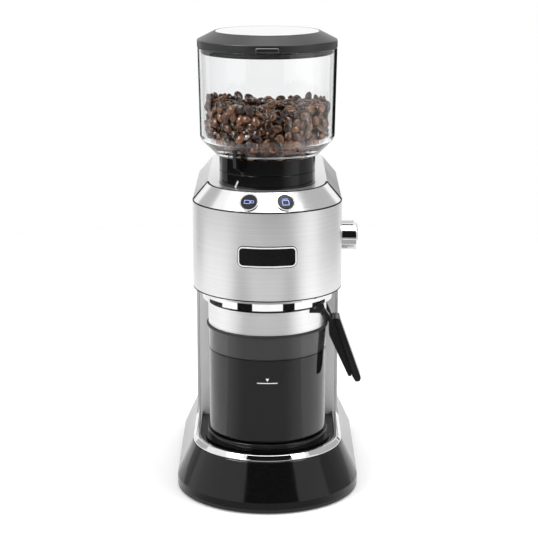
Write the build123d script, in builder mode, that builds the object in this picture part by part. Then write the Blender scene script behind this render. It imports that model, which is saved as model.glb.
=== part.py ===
"""Burr coffee grinder: bean hopper, burr head on a motor column, flared base and a grounds jar.

Millimetres, +Z up. The origin is on the table under the middle of the footprint.
The hopper, the burrs, the jar and the round front of the body share one upright axis, the burr axis.
"""

import os
from math import asin, atan2, cos, degrees, hypot, pi, radians, sin, tan

from build123d import *

os.makedirs("parts", exist_ok=True)

# Footprint and body outline
base_radius = 77.3  # round front of the foot, also its half width
overall_depth = 242.0
burr_y = base_radius - overall_depth / 2  # the burr axis stands this far from the middle
base_rear = overall_depth - base_radius  # from the burr axis to the rear edge of the foot
base_corner = 34.0
body_radius = 62.0  # round front of the head, also half the width of head and column
rear_flare = 9.7  # the foot reaches this far behind the rear wall
body_rear = base_rear - rear_flare  # from the burr axis to the rear wall
body_corner = 28.0
column_front = 57.0  # from the burr axis to the front of the column
housing_wall = 2.2
seam = 0.2  # gap between neighbouring covers
running = 0.05  # radial gap of a shaft in its bush
slip = 0.3  # gap round a part that turns or slides

# Heights; the hopper takes up a change of the overall height
overall_height = 389.0
lid_height = 14.0  # from the rim of the bowl to the crown of the lid
lid_rim_height = 6.2
disc_rise = 0.9
foot_height = 2.5
rim_low = 1.0
rim_top = 10.0
base_top = 41.0
trim_top = 45.5
jar_low = 51.1
head_low = 176.6
head_top = 249.1
deck_top = 263.8
collar_split = 274.8
bowl_low = 287.6
bowl_shoulder = 300.7
bowl_top = overall_height - lid_height
lid_shoulder = bowl_top + lid_rim_height
lid_crown_low = overall_height - disc_rise

# Base
base_wall = 2.5
plate_thick = 2.5
trim_radius = 63.5
trim_width = 6.0
trim_bevel = 3.0
trim_edge = 1.0
plinth_radius = 51.0
step_radius = 54.0
step_top = 46.5
tray_floor = 42.5
tray_thick = 4.0
foot_radius = 9.0
foot_x = 52.0
foot_front = -22.0
foot_inset = 32.7  # rear feet, from the rear edge of the foot
foot_rear = base_rear - foot_inset
screw_radius = 1.6
screw_head = 3.5
screw_head_height = 1.2
boss_radius = 5.0
boss_x = 36.0
boss_front = -30.0
screw_length = 10.0

# Head
band_thick = 1.2
panel_thick = 1.2
panel_top_radius = 49.6
bezel_gap = 1.0  # black frame that shows between the panel and the top cover
cover_thick = 2.0
floor_thick = 2.5
neck_low = 166.6
neck_low_radius = 54.2
neck_wall_top = 172.4  # the funnel stands upright below this
neck_top_radius = 61.0
neck_thick = 2.0
notch_near = 36.8
notch_far = 47.6
notch_top = 170.0

# Collar, hopper and lid
collar_radius = 39.6
collar_bore = 34.4
collar_flange = 42.0
collar_low = 259.1
bowl_wall = 2.2
bowl_top_radius = 57.0
bowl_shoulder_radius = 55.4
bowl_low_radius = 42.0
neck_wall = 2.2
neck_outer = collar_bore + neck_wall
neck_tube_low = 276.8
fin_angle = 31.0  # pointer fin under the bowl, to the left of the front
fin_width = 3.0
fin_low = 277.4
fin_corner = 282.4
fin_radius = 50.4
fin_tip_radius = 51.8
lug_width = 8.0
lug_reach = 6.5
lid_radius = 57.2
lid_rim_wall = 4.0
lid_plug_depth = 4.8
lid_plug_low = bowl_top - lid_plug_depth
lid_plug_thick = 2.0
seal_thick = 1.6
disc_radius = 42.3
disc_edge = 1.2
tab_width = 19.0
tab_lift = 0.6
tab_height = 4.1
tab_low = bowl_top + tab_lift
tab_high = tab_low + tab_height
tab_depth = 2.8
bean_share = 0.356  # how far up the bowl's wall the beans reach
bean_top = bowl_shoulder + bean_share * (bowl_top - bowl_shoulder)
bean_crown = 4.0

# Burrs
carrier_radius = 32.8
carrier_low = 244.6
carrier_top = 276.2
burr_outer = 25.9
burr_low = 245.6
burr_top = 265.9
ring_bore_top = 23.4
ring_bore_low = 19.9
burr_gap = 1.2
cone_top_radius = 9.5
cone_low = 245.1
cone_top = 267.6
burr_shaft_radius = 4.0
burr_shaft_low = 191.1
burr_shaft_top = 274.6
nut_flats = 12.0
nut_height = 5.0
ring_teeth = 24
cone_flutes = 9
chamber_radius = 28.0
chamber_low = 234.6
chamber_top = 243.1
burr_housing_radius = 36.0
burr_housing_floor = 6.0
window_width = 22.0
bush_radius = 7.9
bush_length = 6.0

# Gear train, from the burr shaft back to the motor
gear_module = 1.25
pressure_angle = 25.0
addendum = 0.9
dedendum = 1.2
backlash = 0.3
burr_teeth = 38
idler_small_teeth = 16
idler_large_teeth = 80
pinion_teeth = 14
idler_y = gear_module * (burr_teeth + idler_small_teeth) / 2
motor_y = idler_y + gear_module * (idler_large_teeth + pinion_teeth) / 2
large_gear_low = 182.6
large_gear_height = 6.5
small_gear_low = 192.1
small_gear_height = 11.0
axle_radius = 3.0
frame_low = 208.6
frame_thick = 3.5
pillar_radius = 4.0
frame_radius = 49.0
front_pillar_x = 26.0
front_pillar_y = -34.0

# Motor
motor_radius = 28.0
motor_low = 99.6
motor_top = 167.6
motor_wall = 1.6
bracket_thick = 3.0
rotor_radius = 20.0
rotor_low = 116.6
rotor_top = 152.6
motor_shaft_radius = 2.5
motor_bush_radius = 6.0
rear_pillar_x = motor_radius + 14.0
rear_pillar_y = motor_y + 8.0

# Chute
chute_width = 22.0
chute_wall = 1.6
chute_top_y = -44.0
chute_top_depth = 10.0
chute_low_y = -33.0
chute_low_depth = 14.0
chute_low = 164.8
fill_hole_y = -32.0
fill_hole_radius = 10.5

# Controls
button_angle = 15.0
button_radius = 6.6
button_height = 5.0
button_travel = 0.8
button_proud = 0.9
bezel_radius = 7.8
bezel_flange = 0.9
bezel_depth = 8.5
switch_size = 6.0
bracket_board = 1.6
knob_y = 22.0
knob_z = 212.6
knob_radius = 11.2
knob_length = 13.6
knob_rounding = 1.6
pointer_width = 3.6
pointer_height = 2.9
pointer_setback = 3.2
spindle_radius = 3.0
encoder_radius = 8.0
encoder_depth = 9.0

# Rear
board_width = 70.0
board_low = 60.5
board_high = motor_low - 4.0
board_thick = 1.6
board_stand = 11.0
cord_bush_z = 58.5
cord_bush_radius = 6.0
cord_bore = 3.6

# Jar and its lid
jar_radius = 49.5
jar_wall = 2.2
jar_rounding = 3.0
jar_top = 142.6
gasket_radius = 51.1
gasket_thick = 1.9
jar_lid_radius = 49.7
jar_lid_wall = 1.5
jar_lid_top = 161.6
lip_radius = 49.9
lip_top = 163.9
skirt_low = 123.6

# Lever on the jar lid, seen from the front: X to the right of the burr axis, Z up
pivot_x = 43.6
pivot_z = 166.0
pin_radius = 1.3
eye_radius = 3.2
eye_thick = 3.6
eye_near = 28.6  # eyes and ears stand on both sides of the burr axis
ear_thick = 3.4
root_x = 55.0
root_z = 144.5
arm_height = 3.8
paddle_width = 20.0
lever_tip_x = 77.0
lever_tip_z = 93.1
cover_width = 21.0


# Planes and axes that several pieces share
burr_axis = Axis((0, burr_y, 0), (0, 0, 1))
front_turn = Axis((0, burr_y, 0), (0, 0, -1))
front_view = Plane(origin=(0, burr_y, 0), x_dir=(1, 0, 0), z_dir=(0, -1, 0))


def level(z):
    """Horizontal plane at height z, with its origin on the burr axis."""
    return Plane((0, burr_y, z))


def keep(builder, name):
    """Names a finished piece and writes it."""
    builder.part.label = name
    export_step(builder.part, f"parts/{name}.step")


def plan_outline(radius, rear, corner):
    """Plan of the body: round front about the burr axis, straight sides, rounded rear corners."""
    with BuildLine() as outline:
        CenterArc((0, 0), radius, 180, 180)
        Line((radius, 0), (radius, rear - corner))
        CenterArc((radius - corner, rear - corner), corner, 0, 90)
        Line((radius - corner, rear), (corner - radius, rear))
        CenterArc((corner - radius, rear - corner), corner, 90, 90)
        Line((-radius, rear - corner), (-radius, 0))
    make_face(outline.edges())


def bay_outline(radius, back):
    """Plan of what stands in front of the column: round front, straight sides, flat back."""
    with BuildLine() as outline:
        CenterArc((0, 0), radius, 180, 180)
        Polyline((radius, 0), (radius, back), (-radius, back), (-radius, 0))
    make_face(outline.edges())


def ring_profile(*points):
    """Closed outline of a turned piece, as (radius, height) points."""
    with BuildLine() as outline:
        Polyline(*points, close=True)
    make_face(outline.edges())


def dome(radius, edge, height):
    """Start, middle and end of the arc of a shallow dome, from its edge to its crown on the axis."""
    ball = (radius**2 + height**2) / (2 * height)
    half = asin(radius / ball) / 2
    return (radius, edge), (ball * sin(half), edge + height - ball + ball * cos(half)), (0, edge + height)


def gear_outline(teeth, first_tooth):
    """Spur gear with involute flanks drawn as arcs; one tooth stands at the angle first_tooth."""
    pitch = gear_module * teeth / 2
    base = pitch * cos(radians(pressure_angle))
    tip = pitch + addendum * gear_module
    root = pitch - dedendum * gear_module
    low = max(base, root)

    def involute(radius):
        return tan(pressure(radius)) - pressure(radius)

    def pressure(radius):
        return atan2((radius**2 - base**2) ** 0.5, base)

    half_tooth = (pi * gear_module / 2 - backlash) / (2 * pitch)

    def flank(radius):
        return half_tooth + involute(pitch) - involute(radius)

    def at(radius, angle):
        return (radius * cos(angle), radius * sin(angle))

    with BuildLine() as outline:
        for tooth in range(teeth):
            middle = radians(first_tooth) + 2 * pi * tooth / teeth
            following = middle + 2 * pi / teeth
            foot = flank(low)
            if low > root:
                Line(at(root, middle - foot), at(low, middle - foot))
            ThreePointArc(
                at(low, middle - foot),
                at(pitch, middle - flank(pitch)),
                at(tip, middle - flank(tip)),
            )
            Line(at(tip, middle - flank(tip)), at(tip, middle + flank(tip)))
            ThreePointArc(
                at(tip, middle + flank(tip)),
                at(pitch, middle + flank(pitch)),
                at(low, middle + foot),
            )
            if low > root:
                Line(at(low, middle + foot), at(root, middle + foot))
            Line(at(root, middle + foot), at(root, following - foot))
    make_face(outline.edges())


# Base

# Black foot: upright rim all round, flared cone at the front
with BuildPart() as base_shell:
    with BuildSketch(level(rim_low)):
        plan_outline(base_radius, base_rear, base_corner)
    extrude(amount=rim_top - rim_low)
    with BuildSketch(level(rim_top)):
        plan_outline(base_radius, base_rear, base_corner)
    with BuildSketch(level(base_top)):
        plan_outline(trim_radius, body_rear + 1.5, body_corner + 1.5)
    loft(ruled=True)
    with BuildSketch(level(rim_low)):
        plan_outline(base_radius - base_wall, base_rear - base_wall, base_corner - base_wall)
    extrude(amount=rim_top - rim_low, mode=Mode.SUBTRACT)
    with BuildSketch(level(rim_top)):
        plan_outline(base_radius - base_wall, base_rear - base_wall, base_corner - base_wall)
    with BuildSketch(level(base_top)):
        plan_outline(trim_radius - base_wall, body_rear + 1.5 - base_wall, body_corner + 1.5 - base_wall)
    loft(ruled=True, mode=Mode.SUBTRACT)
    with BuildSketch(level(rim_top)):
        with Locations((0, base_rear / 2)):
            Rectangle(2 * base_radius + 2, base_rear)
    extrude(amount=base_top, mode=Mode.SUBTRACT)
keep(base_shell, "base_shell")

# Silver skirt: the same flare along both sides and the rear
with BuildPart() as base_skirt:
    with BuildSketch(level(rim_top)):
        plan_outline(base_radius, base_rear, base_corner)
    with BuildSketch(level(base_top)):
        plan_outline(trim_radius, body_rear + 1.5, body_corner + 1.5)
    loft(ruled=True)
    with BuildSketch(level(rim_top)):
        plan_outline(base_radius - base_wall, base_rear - base_wall, base_corner - base_wall)
    with BuildSketch(level(base_top)):
        plan_outline(trim_radius - base_wall, body_rear + 1.5 - base_wall, body_corner + 1.5 - base_wall)
    loft(ruled=True, mode=Mode.SUBTRACT)
    with BuildSketch(level(rim_top)):
        with Locations((0, seam - base_radius)):
            Rectangle(2 * base_radius + 2, 2 * base_radius)
    extrude(amount=base_top, mode=Mode.SUBTRACT)
keep(base_skirt, "base_skirt")

# Bright bevelled trim between the foot and the jar tray
with BuildPart() as base_trim:
    with BuildSketch(level(base_top)):
        bay_outline(trim_radius, column_front - seam)
    extrude(amount=trim_edge)
    with BuildSketch(level(base_top + trim_edge)):
        bay_outline(trim_radius, column_front - seam)
    with BuildSketch(level(trim_top)):
        bay_outline(trim_radius - trim_bevel, column_front - seam)
    loft(ruled=True)
    with BuildSketch(level(base_top)):
        bay_outline(trim_radius - trim_width, column_front)
    extrude(amount=trim_top - base_top, mode=Mode.SUBTRACT)
keep(base_trim, "base_trim")

# Tray: stepped black plinth under the jar, with two screw bosses reaching down to the base plate
tray_radius = trim_radius - trim_width - seam
with BuildPart() as jar_tray:
    with BuildSketch(level(tray_floor - tray_thick)):
        bay_outline(tray_radius, column_front - seam)
    extrude(amount=tray_thick)
    with BuildSketch(level(tray_floor)):
        Circle(step_radius)
    extrude(amount=step_top - tray_floor)
    with BuildSketch(level(step_top)):
        Circle(plinth_radius)
    extrude(amount=jar_low - step_top)
    fillet(jar_tray.edges().filter_by(GeomType.CIRCLE).group_by(Axis.Z)[-1], 1.0)
    with BuildSketch(level(foot_height + plate_thick)):
        with Locations((boss_x, boss_front), (-boss_x, boss_front)):
            Circle(boss_radius)
    extrude(amount=tray_floor - tray_thick - foot_height - plate_thick)
    with BuildSketch(level(foot_height + plate_thick)):
        with Locations((boss_x, boss_front), (-boss_x, boss_front)):
            Circle(screw_radius + running)
    extrude(amount=screw_length, mode=Mode.SUBTRACT)
keep(jar_tray, "jar_tray")

boss_rear = body_rear - housing_wall - boss_radius + 0.5
screw_places = [(boss_x, boss_front), (-boss_x, boss_front), (boss_x, boss_rear), (-boss_x, boss_rear)]
foot_places = [(foot_x, foot_front), (-foot_x, foot_front), (foot_x, foot_rear), (-foot_x, foot_rear)]

# Flat bottom cover
with BuildPart() as base_plate:
    with BuildSketch(level(foot_height)):
        inset = base_wall + seam
        plan_outline(base_radius - inset, base_rear - inset, base_corner - inset)
        with Locations(*screw_places):
            Circle(screw_radius + slip, mode=Mode.SUBTRACT)
    extrude(amount=plate_thick)
keep(base_plate, "base_plate")

# Four soft feet
with BuildPart() as rubber_feet:
    with BuildSketch(level(0)):
        with Locations(*foot_places):
            Circle(foot_radius)
    extrude(amount=foot_height)
    chamfer(rubber_feet.edges().group_by(Axis.Z)[0], 0.6)
keep(rubber_feet, "rubber_feet")

# Screws that hold the base plate
with BuildPart() as base_screws:
    with BuildSketch(level(foot_height - screw_head_height)):
        with Locations(*screw_places):
            Circle(screw_head)
    extrude(amount=screw_head_height)
    with BuildSketch(level(foot_height)):
        with Locations(*screw_places):
            Circle(screw_radius)
    extrude(amount=plate_thick + screw_length - 1)
keep(base_screws, "base_screws")


# Column and head

inner_radius = body_radius - housing_wall
inner_rear = body_rear - housing_wall
inner_corner = body_corner - housing_wall

# Rear wall and sides of the column, with screw bosses and posts for the power board
with BuildPart() as column_shell:
    with BuildSketch(level(base_top)):
        plan_outline(body_radius, body_rear, body_corner)
        with BuildLine():
            Polyline(
                (-inner_radius, column_front),
                (-inner_radius, inner_rear - inner_corner),
                (inner_corner - inner_radius, inner_rear),
                (inner_radius - inner_corner, inner_rear),
                (inner_radius, inner_rear - inner_corner),
                (inner_radius, column_front),
                close=True,
            )
        make_face(mode=Mode.SUBTRACT)
        with Locations((inner_radius - inner_corner, inner_rear - inner_corner)):
            Circle(inner_corner, mode=Mode.SUBTRACT)
        with Locations((inner_corner - inner_radius, inner_rear - inner_corner)):
            Circle(inner_corner, mode=Mode.SUBTRACT)
        with Locations((0, column_front / 2 - body_radius)):
            Rectangle(2 * body_radius + 2, column_front + 2 * body_radius, mode=Mode.SUBTRACT)
    extrude(amount=head_low - base_top)
    with BuildSketch(level(foot_height + plate_thick)):
        with Locations((boss_x, boss_rear), (-boss_x, boss_rear)):
            Circle(boss_radius)
    extrude(amount=cord_bush_z - foot_height)
    with BuildSketch(level(foot_height + plate_thick)):
        with Locations((boss_x, boss_rear), (-boss_x, boss_rear)):
            Circle(screw_radius + running)
    extrude(amount=screw_length, mode=Mode.SUBTRACT)
    with BuildSketch(Plane(origin=(0, burr_y + inner_rear + 0.5, 0), x_dir=(1, 0, 0), z_dir=(0, -1, 0))):
        post_x, post_z = board_width / 2 - 5, (board_high - board_low) / 2 - 5
        with Locations((0, (board_low + board_high) / 2)):
            with GridLocations(2 * post_x, 2 * post_z, 2, 2):
                Circle(3)
    extrude(amount=board_stand + 0.5)
    with BuildSketch(Plane(origin=(0, burr_y + body_rear, 0), x_dir=(1, 0, 0), z_dir=(0, -1, 0))):
        with Locations((0, cord_bush_z)):
            Circle(cord_bush_radius + running)
    extrude(amount=housing_wall + 1, mode=Mode.SUBTRACT)
keep(column_shell, "column_shell")

# Brushed plate that closes the front of the column
with BuildPart() as column_panel:
    with BuildSketch(Plane(origin=(0, burr_y + column_front, 0), x_dir=(1, 0, 0), z_dir=(0, -1, 0))):
        with Locations((0, (base_top + head_low) / 2)):
            Rectangle(2 * (inner_radius - seam), head_low - base_top)
    extrude(amount=-band_thick)
keep(column_panel, "column_panel")

# Sides and rear of the head, open at the front and below
with BuildPart() as head_shell:
    with BuildSketch(level(head_low)):
        plan_outline(body_radius, body_rear, body_corner)
        with Locations((0, inner_rear / 2)):
            RectangleRounded(2 * inner_radius, inner_rear, inner_corner, mode=Mode.SUBTRACT)
        with Locations((0, (inner_rear - inner_corner) / 2)):
            Rectangle(2 * inner_radius, inner_rear - inner_corner, mode=Mode.SUBTRACT)
        with Locations((0, -body_radius)):
            Rectangle(2 * body_radius + 2, 2 * body_radius, mode=Mode.SUBTRACT)
    extrude(amount=head_top - head_low)
    with BuildSketch(Plane(origin=(body_radius, burr_y + knob_y, knob_z), z_dir=(1, 0, 0))):
        Circle(spindle_radius + slip)
    extrude(amount=-housing_wall - 1, mode=Mode.SUBTRACT)
keep(head_shell, "head_shell")

# Brushed steel band round the front of the head
with BuildPart() as front_band:
    with BuildSketch(front_view):
        ring_profile(
            (body_radius, head_low + seam),
            (body_radius, head_top - seam),
            (body_radius - band_thick, head_top - seam),
            (body_radius - band_thick, head_low + seam),
        )
    revolve(axis=front_turn, revolution_arc=180)
keep(front_band, "front_band")

# Floor of the head, with the opening for the chute
with BuildPart() as head_floor:
    with BuildSketch(level(head_low)):
        bay_outline(inner_radius - seam, column_front - seam)
        with Locations((0, (chute_low_y + chute_top_y) / 2)):
            Rectangle(chute_width + 4, chute_low_depth + 8, mode=Mode.SUBTRACT)
        with Locations((0, idler_y)):
            Circle(axle_radius, mode=Mode.SUBTRACT)
    extrude(amount=floor_thick)
keep(head_floor, "head_floor")

# Bright funnel under the head, notched so that the lever ears of the jar lid can slide out forwards,
# and cut flat where it meets the column
with BuildPart() as neck_cone:
    slope = (neck_top_radius - neck_low_radius) / (head_low - neck_wall_top)
    wide = neck_thick * hypot(1, slope)
    with BuildSketch(front_view):
        ring_profile(
            (neck_low_radius, neck_low),
            (neck_low_radius, neck_wall_top),
            (neck_top_radius, head_low),
            (neck_top_radius - wide, head_low),
            (neck_low_radius - neck_thick, neck_wall_top + neck_thick / 2),
            (neck_low_radius - neck_thick, neck_low),
        )
    revolve(axis=burr_axis)
    with BuildSketch(level(neck_low)):
        notch_middle = (notch_near + notch_far) / 2
        with Locations((notch_middle, 0), (-notch_middle, 0)):
            Rectangle(notch_far - notch_near, 2 * body_radius)
    extrude(amount=notch_top - neck_low, mode=Mode.SUBTRACT)
    split(bisect_by=Plane(origin=(0, burr_y + column_front - seam, 0), z_dir=(0, -1, 0)))
keep(neck_cone, "neck_cone")

panel_rise = deck_top - head_top
panel_run = body_radius - panel_top_radius
panel_wide = panel_thick * hypot(panel_rise, panel_run) / panel_rise
panel_tilt = degrees(atan2(panel_run, panel_rise))  # of the panel's normal above the horizontal


def button_plane(side, depth=0.0):
    """Plane on the sloping panel under one button, its normal pointing out; depth goes inwards."""
    across = radians(side * button_angle)
    out = Vector(
        sin(across) * cos(radians(panel_tilt)),
        -cos(across) * cos(radians(panel_tilt)),
        sin(radians(panel_tilt)),
    )
    radius = (body_radius + panel_top_radius) / 2
    middle = Vector(radius * sin(across), burr_y - radius * cos(across), (head_top + deck_top) / 2)
    along = Vector(cos(across), sin(across), 0)
    return Plane(origin=middle - out * depth, x_dir=along, z_dir=out)


sides = {"left": -1, "right": 1}

# Sloping front panel with two button holes
with BuildPart() as control_panel:
    with BuildSketch(front_view):
        ring_profile(
            (body_radius, head_top),
            (panel_top_radius, deck_top),
            (panel_top_radius, deck_top - panel_wide * panel_rise / panel_run),
            (body_radius - panel_wide, head_top),
        )
    revolve(axis=front_turn, revolution_arc=180)
    for side in sides.values():
        with BuildSketch(button_plane(side, depth=5)):
            Circle(bezel_radius - bezel_flange + running)
        extrude(amount=10, mode=Mode.SUBTRACT)
keep(control_panel, "control_panel")

# Black frame that shows as a dark line round the panel
with BuildPart() as panel_frame:
    for mirror_side in sides.values():
        with BuildSketch(front_view):
            with BuildLine():
                Polyline(
                    (mirror_side * body_radius, head_top),
                    (mirror_side * panel_top_radius, deck_top),
                    (mirror_side * (panel_top_radius - bezel_gap), deck_top),
                    (mirror_side * (panel_top_radius - bezel_gap), deck_top - cover_thick),
                    (mirror_side * (body_radius - 2 * cover_thick), head_top),
                    close=True,
                )
            make_face()
        extrude(amount=-bezel_gap)
    with BuildSketch(front_view):
        ring_profile(
            (panel_top_radius - running, deck_top),
            (panel_top_radius - bezel_gap, deck_top),
            (panel_top_radius - bezel_gap, deck_top - cover_thick),
            (panel_top_radius - running, deck_top - cover_thick),
        )
    revolve(axis=front_turn, revolution_arc=180)
keep(panel_frame, "panel_frame")

# Top cover: chamfered sides and rear, flat deck with the collar opening
with BuildPart() as top_cover:
    with BuildSketch(level(head_top)):
        plan_outline(body_radius, body_rear, body_corner)
    with BuildSketch(level(deck_top)):
        plan_outline(panel_top_radius, body_rear - panel_run, body_corner - panel_run)
    loft(ruled=True)
    with BuildSketch(level(head_top)):
        skin = 1.5 * cover_thick
        plan_outline(body_radius - skin, body_rear - skin, body_corner - skin)
    with BuildSketch(level(deck_top - cover_thick)):
        inner = panel_run + cover_thick
        plan_outline(body_radius - inner, body_rear - inner, body_corner - inner)
    loft(ruled=True, mode=Mode.SUBTRACT)
    with BuildSketch(level(head_top)):
        with Locations((0, bezel_gap + seam - body_radius)):
            Rectangle(2 * body_radius + 2, 2 * body_radius)
    extrude(amount=panel_rise, mode=Mode.SUBTRACT)
    with BuildSketch(level(deck_top - cover_thick)):
        bay_outline(panel_top_radius - bezel_gap - running, bezel_gap + seam + 1)
    extrude(amount=cover_thick)
    with BuildSketch(level(head_top)):
        Circle(collar_radius + seam)
    extrude(amount=panel_rise, mode=Mode.SUBTRACT)
keep(top_cover, "top_cover")

# Fixed black collar round the hopper neck, standing through the deck
with BuildPart() as collar_base:
    with BuildSketch(front_view):
        ring_profile(
            (collar_bore, collar_low),
            (collar_flange, collar_low),
            (collar_flange, deck_top - cover_thick),
            (collar_radius, deck_top - cover_thick),
            (collar_radius, collar_split),
            (collar_bore, collar_split),
        )
    revolve(axis=burr_axis)
keep(collar_base, "collar_base")


# Burr mechanism

# Fixed grinding chamber: floor with the bush seat, round chamber, bore that guides the burr carrier
with BuildPart() as burr_housing:
    housing_low = chamber_low - burr_housing_floor
    with BuildSketch(front_view):
        ring_profile(
            (bush_radius + running, housing_low),
            (burr_housing_radius, housing_low),
            (burr_housing_radius, collar_low - 2 * cover_thick),
            (collar_flange, collar_low - 2 * cover_thick),
            (collar_flange, collar_low),
            (carrier_radius + slip, collar_low),
            (carrier_radius + slip, chamber_top),
            (chamber_radius, chamber_top),
            (chamber_radius, chamber_low),
            (bush_radius + running, chamber_low),
        )
    revolve(axis=burr_axis)
    with BuildSketch(level(chamber_low)):
        with Locations((0, -burr_housing_radius / 2)):
            Rectangle(window_width - 2 * chute_wall, burr_housing_radius)
    extrude(amount=chamber_top - chamber_low, mode=Mode.SUBTRACT)
keep(burr_housing, "burr_housing")

# Carrier that holds the ring burr and turns with the hopper
with BuildPart() as burr_carrier:
    with BuildSketch(front_view):
        ring_profile(
            (burr_outer + running, carrier_low),
            (carrier_radius, carrier_low),
            (carrier_radius, carrier_top),
            (carrier_radius - 2, carrier_top),
            (burr_outer - 1.5, burr_top + 3),
            (burr_outer - 1.5, burr_top + running),
            (burr_outer + running, burr_top + running),
        )
    revolve(axis=burr_axis)
    with BuildSketch(level(collar_split - 0.7)):
        with PolarLocations(carrier_radius, 2):
            Rectangle(2 * lug_reach, lug_width + 2 * slip)
    extrude(amount=carrier_top, mode=Mode.SUBTRACT)
keep(burr_carrier, "burr_carrier")

# One slanting cutter for the ring's grooves
ring_slope = degrees(atan2(ring_bore_top - ring_bore_low, burr_top - burr_low))
with BuildPart(mode=Mode.PRIVATE) as ring_groove:
    middle_radius = (ring_bore_top + ring_bore_low) / 2
    with Locations(Location((middle_radius, 0, (burr_top + burr_low) / 2), (14, ring_slope, 45))):
        Box(2.4, 2.4, 2 * (burr_top - burr_low))

# Steel ring burr, grooved inside
with BuildPart(level(0)) as ring_burr:
    with BuildSketch(front_view):
        ring_profile(
            (burr_outer, burr_low),
            (burr_outer, burr_top),
            (ring_bore_top, burr_top),
            (ring_bore_low, burr_low),
        )
    revolve(axis=burr_axis)
    with PolarLocations(0, ring_teeth):
        add(ring_groove.part, mode=Mode.SUBTRACT)
keep(ring_burr, "ring_burr")

cone_low_radius = ring_bore_low - burr_gap
cone_slope = degrees(atan2(cone_low_radius - cone_top_radius, cone_top - cone_low))
with BuildPart(mode=Mode.PRIVATE) as cone_flute:
    middle_radius = (cone_low_radius + cone_top_radius) / 2
    with Locations(Location((middle_radius + 0.6, 0, (cone_top + cone_low) / 2), (-22, -cone_slope, 45))):
        Box(3.4, 3.4, 3 * (cone_top - cone_low))

# Steel cone burr with slanting flutes
with BuildPart(level(0)) as cone_burr:
    with BuildSketch(front_view):
        ring_profile(
            (burr_shaft_radius, cone_low),
            (cone_low_radius, cone_low),
            (cone_low_radius, cone_low + 1.5),
            (cone_top_radius, cone_top),
            (burr_shaft_radius, cone_top),
        )
    revolve(axis=burr_axis)
    with PolarLocations(0, cone_flutes):
        add(cone_flute.part, mode=Mode.SUBTRACT)
keep(cone_burr, "cone_burr")

# Nut that clamps the cone burr
with BuildPart() as burr_nut:
    with BuildSketch(level(cone_top)):
        RegularPolygon(nut_flats / 2, 6, major_radius=False)
        Circle(burr_shaft_radius, mode=Mode.SUBTRACT)
    extrude(amount=nut_height)
keep(burr_nut, "burr_nut")

# Burr shaft
with BuildPart() as burr_shaft:
    with BuildSketch(level(burr_shaft_low)):
        Circle(burr_shaft_radius)
    extrude(amount=burr_shaft_top - burr_shaft_low)
    chamfer(burr_shaft.edges().group_by(Axis.Z)[-1], 0.8)
keep(burr_shaft, "burr_shaft")

# Sweeper: hub plate under the cone with three paddles that push the grounds to the window
with BuildPart() as sweeper:
    with BuildSketch(level(chamber_low + 1.5)):
        Circle(chamber_radius - 1)
        Circle(burr_shaft_radius, mode=Mode.SUBTRACT)
    extrude(amount=2)
    with BuildSketch(level(chamber_low + 3.5)):
        with PolarLocations(chamber_radius / 2 + 4, 3):
            Rectangle(chamber_radius - 13, 2.5)
    extrude(amount=chamber_top - chamber_low - 5)
    with BuildSketch(level(chamber_low + 3.5)):
        Circle(burr_shaft_radius + 4)
        Circle(burr_shaft_radius, mode=Mode.SUBTRACT)
    extrude(amount=cone_low - chamber_low - 3.5)
keep(sweeper, "sweeper")

# Two bushes of the burr shaft, in the chamber floor and in the gear frame
with BuildPart() as burr_bushes:
    for bush_low in (chamber_low - bush_length, frame_low + frame_thick - bush_length):
        with BuildSketch(level(bush_low)):
            Circle(bush_radius)
            Circle(burr_shaft_radius + running, mode=Mode.SUBTRACT)
        extrude(amount=bush_length)
keep(burr_bushes, "burr_bushes")


# Gear train and motor

# Frame plate over the gears, on pillars, with posts that carry the grinding chamber
with BuildPart() as gear_frame:
    with BuildSketch(level(frame_low)):
        plan_outline(frame_radius, motor_y + 20, 12)
        Circle(bush_radius + running, mode=Mode.SUBTRACT)
        with Locations((0, idler_y)):
            Circle(axle_radius, mode=Mode.SUBTRACT)
        with Locations((0, motor_y)):
            Circle(motor_bush_radius + 4, mode=Mode.SUBTRACT)
        with Locations((0, (chute_low_y + chute_top_y) / 2 - 2)):
            Rectangle(chute_width + 4, chute_low_depth + 10, mode=Mode.SUBTRACT)
    extrude(amount=frame_thick)
    with BuildSketch(level(head_low + floor_thick)):
        with Locations((front_pillar_x, front_pillar_y), (-front_pillar_x, front_pillar_y)):
            Circle(pillar_radius)
    extrude(amount=frame_low - head_low - floor_thick)
    with BuildSketch(level(motor_top + bracket_thick)):
        with Locations((rear_pillar_x, rear_pillar_y), (-rear_pillar_x, rear_pillar_y)):
            Circle(pillar_radius)
    extrude(amount=frame_low - motor_top - bracket_thick)
    with BuildSketch(level(frame_low + frame_thick)):
        with PolarLocations(burr_housing_radius - 8, 3, start_angle=90):
            Circle(pillar_radius)
    extrude(amount=chamber_low - burr_housing_floor - frame_low - frame_thick)
keep(gear_frame, "gear_frame")

# Driven gear on the burr shaft
with BuildPart() as burr_gear:
    with BuildSketch(level(small_gear_low + 0.5)):
        gear_outline(burr_teeth, 90)
        Circle(burr_shaft_radius, mode=Mode.SUBTRACT)
    extrude(amount=small_gear_height - 1)
keep(burr_gear, "burr_gear")

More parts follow.
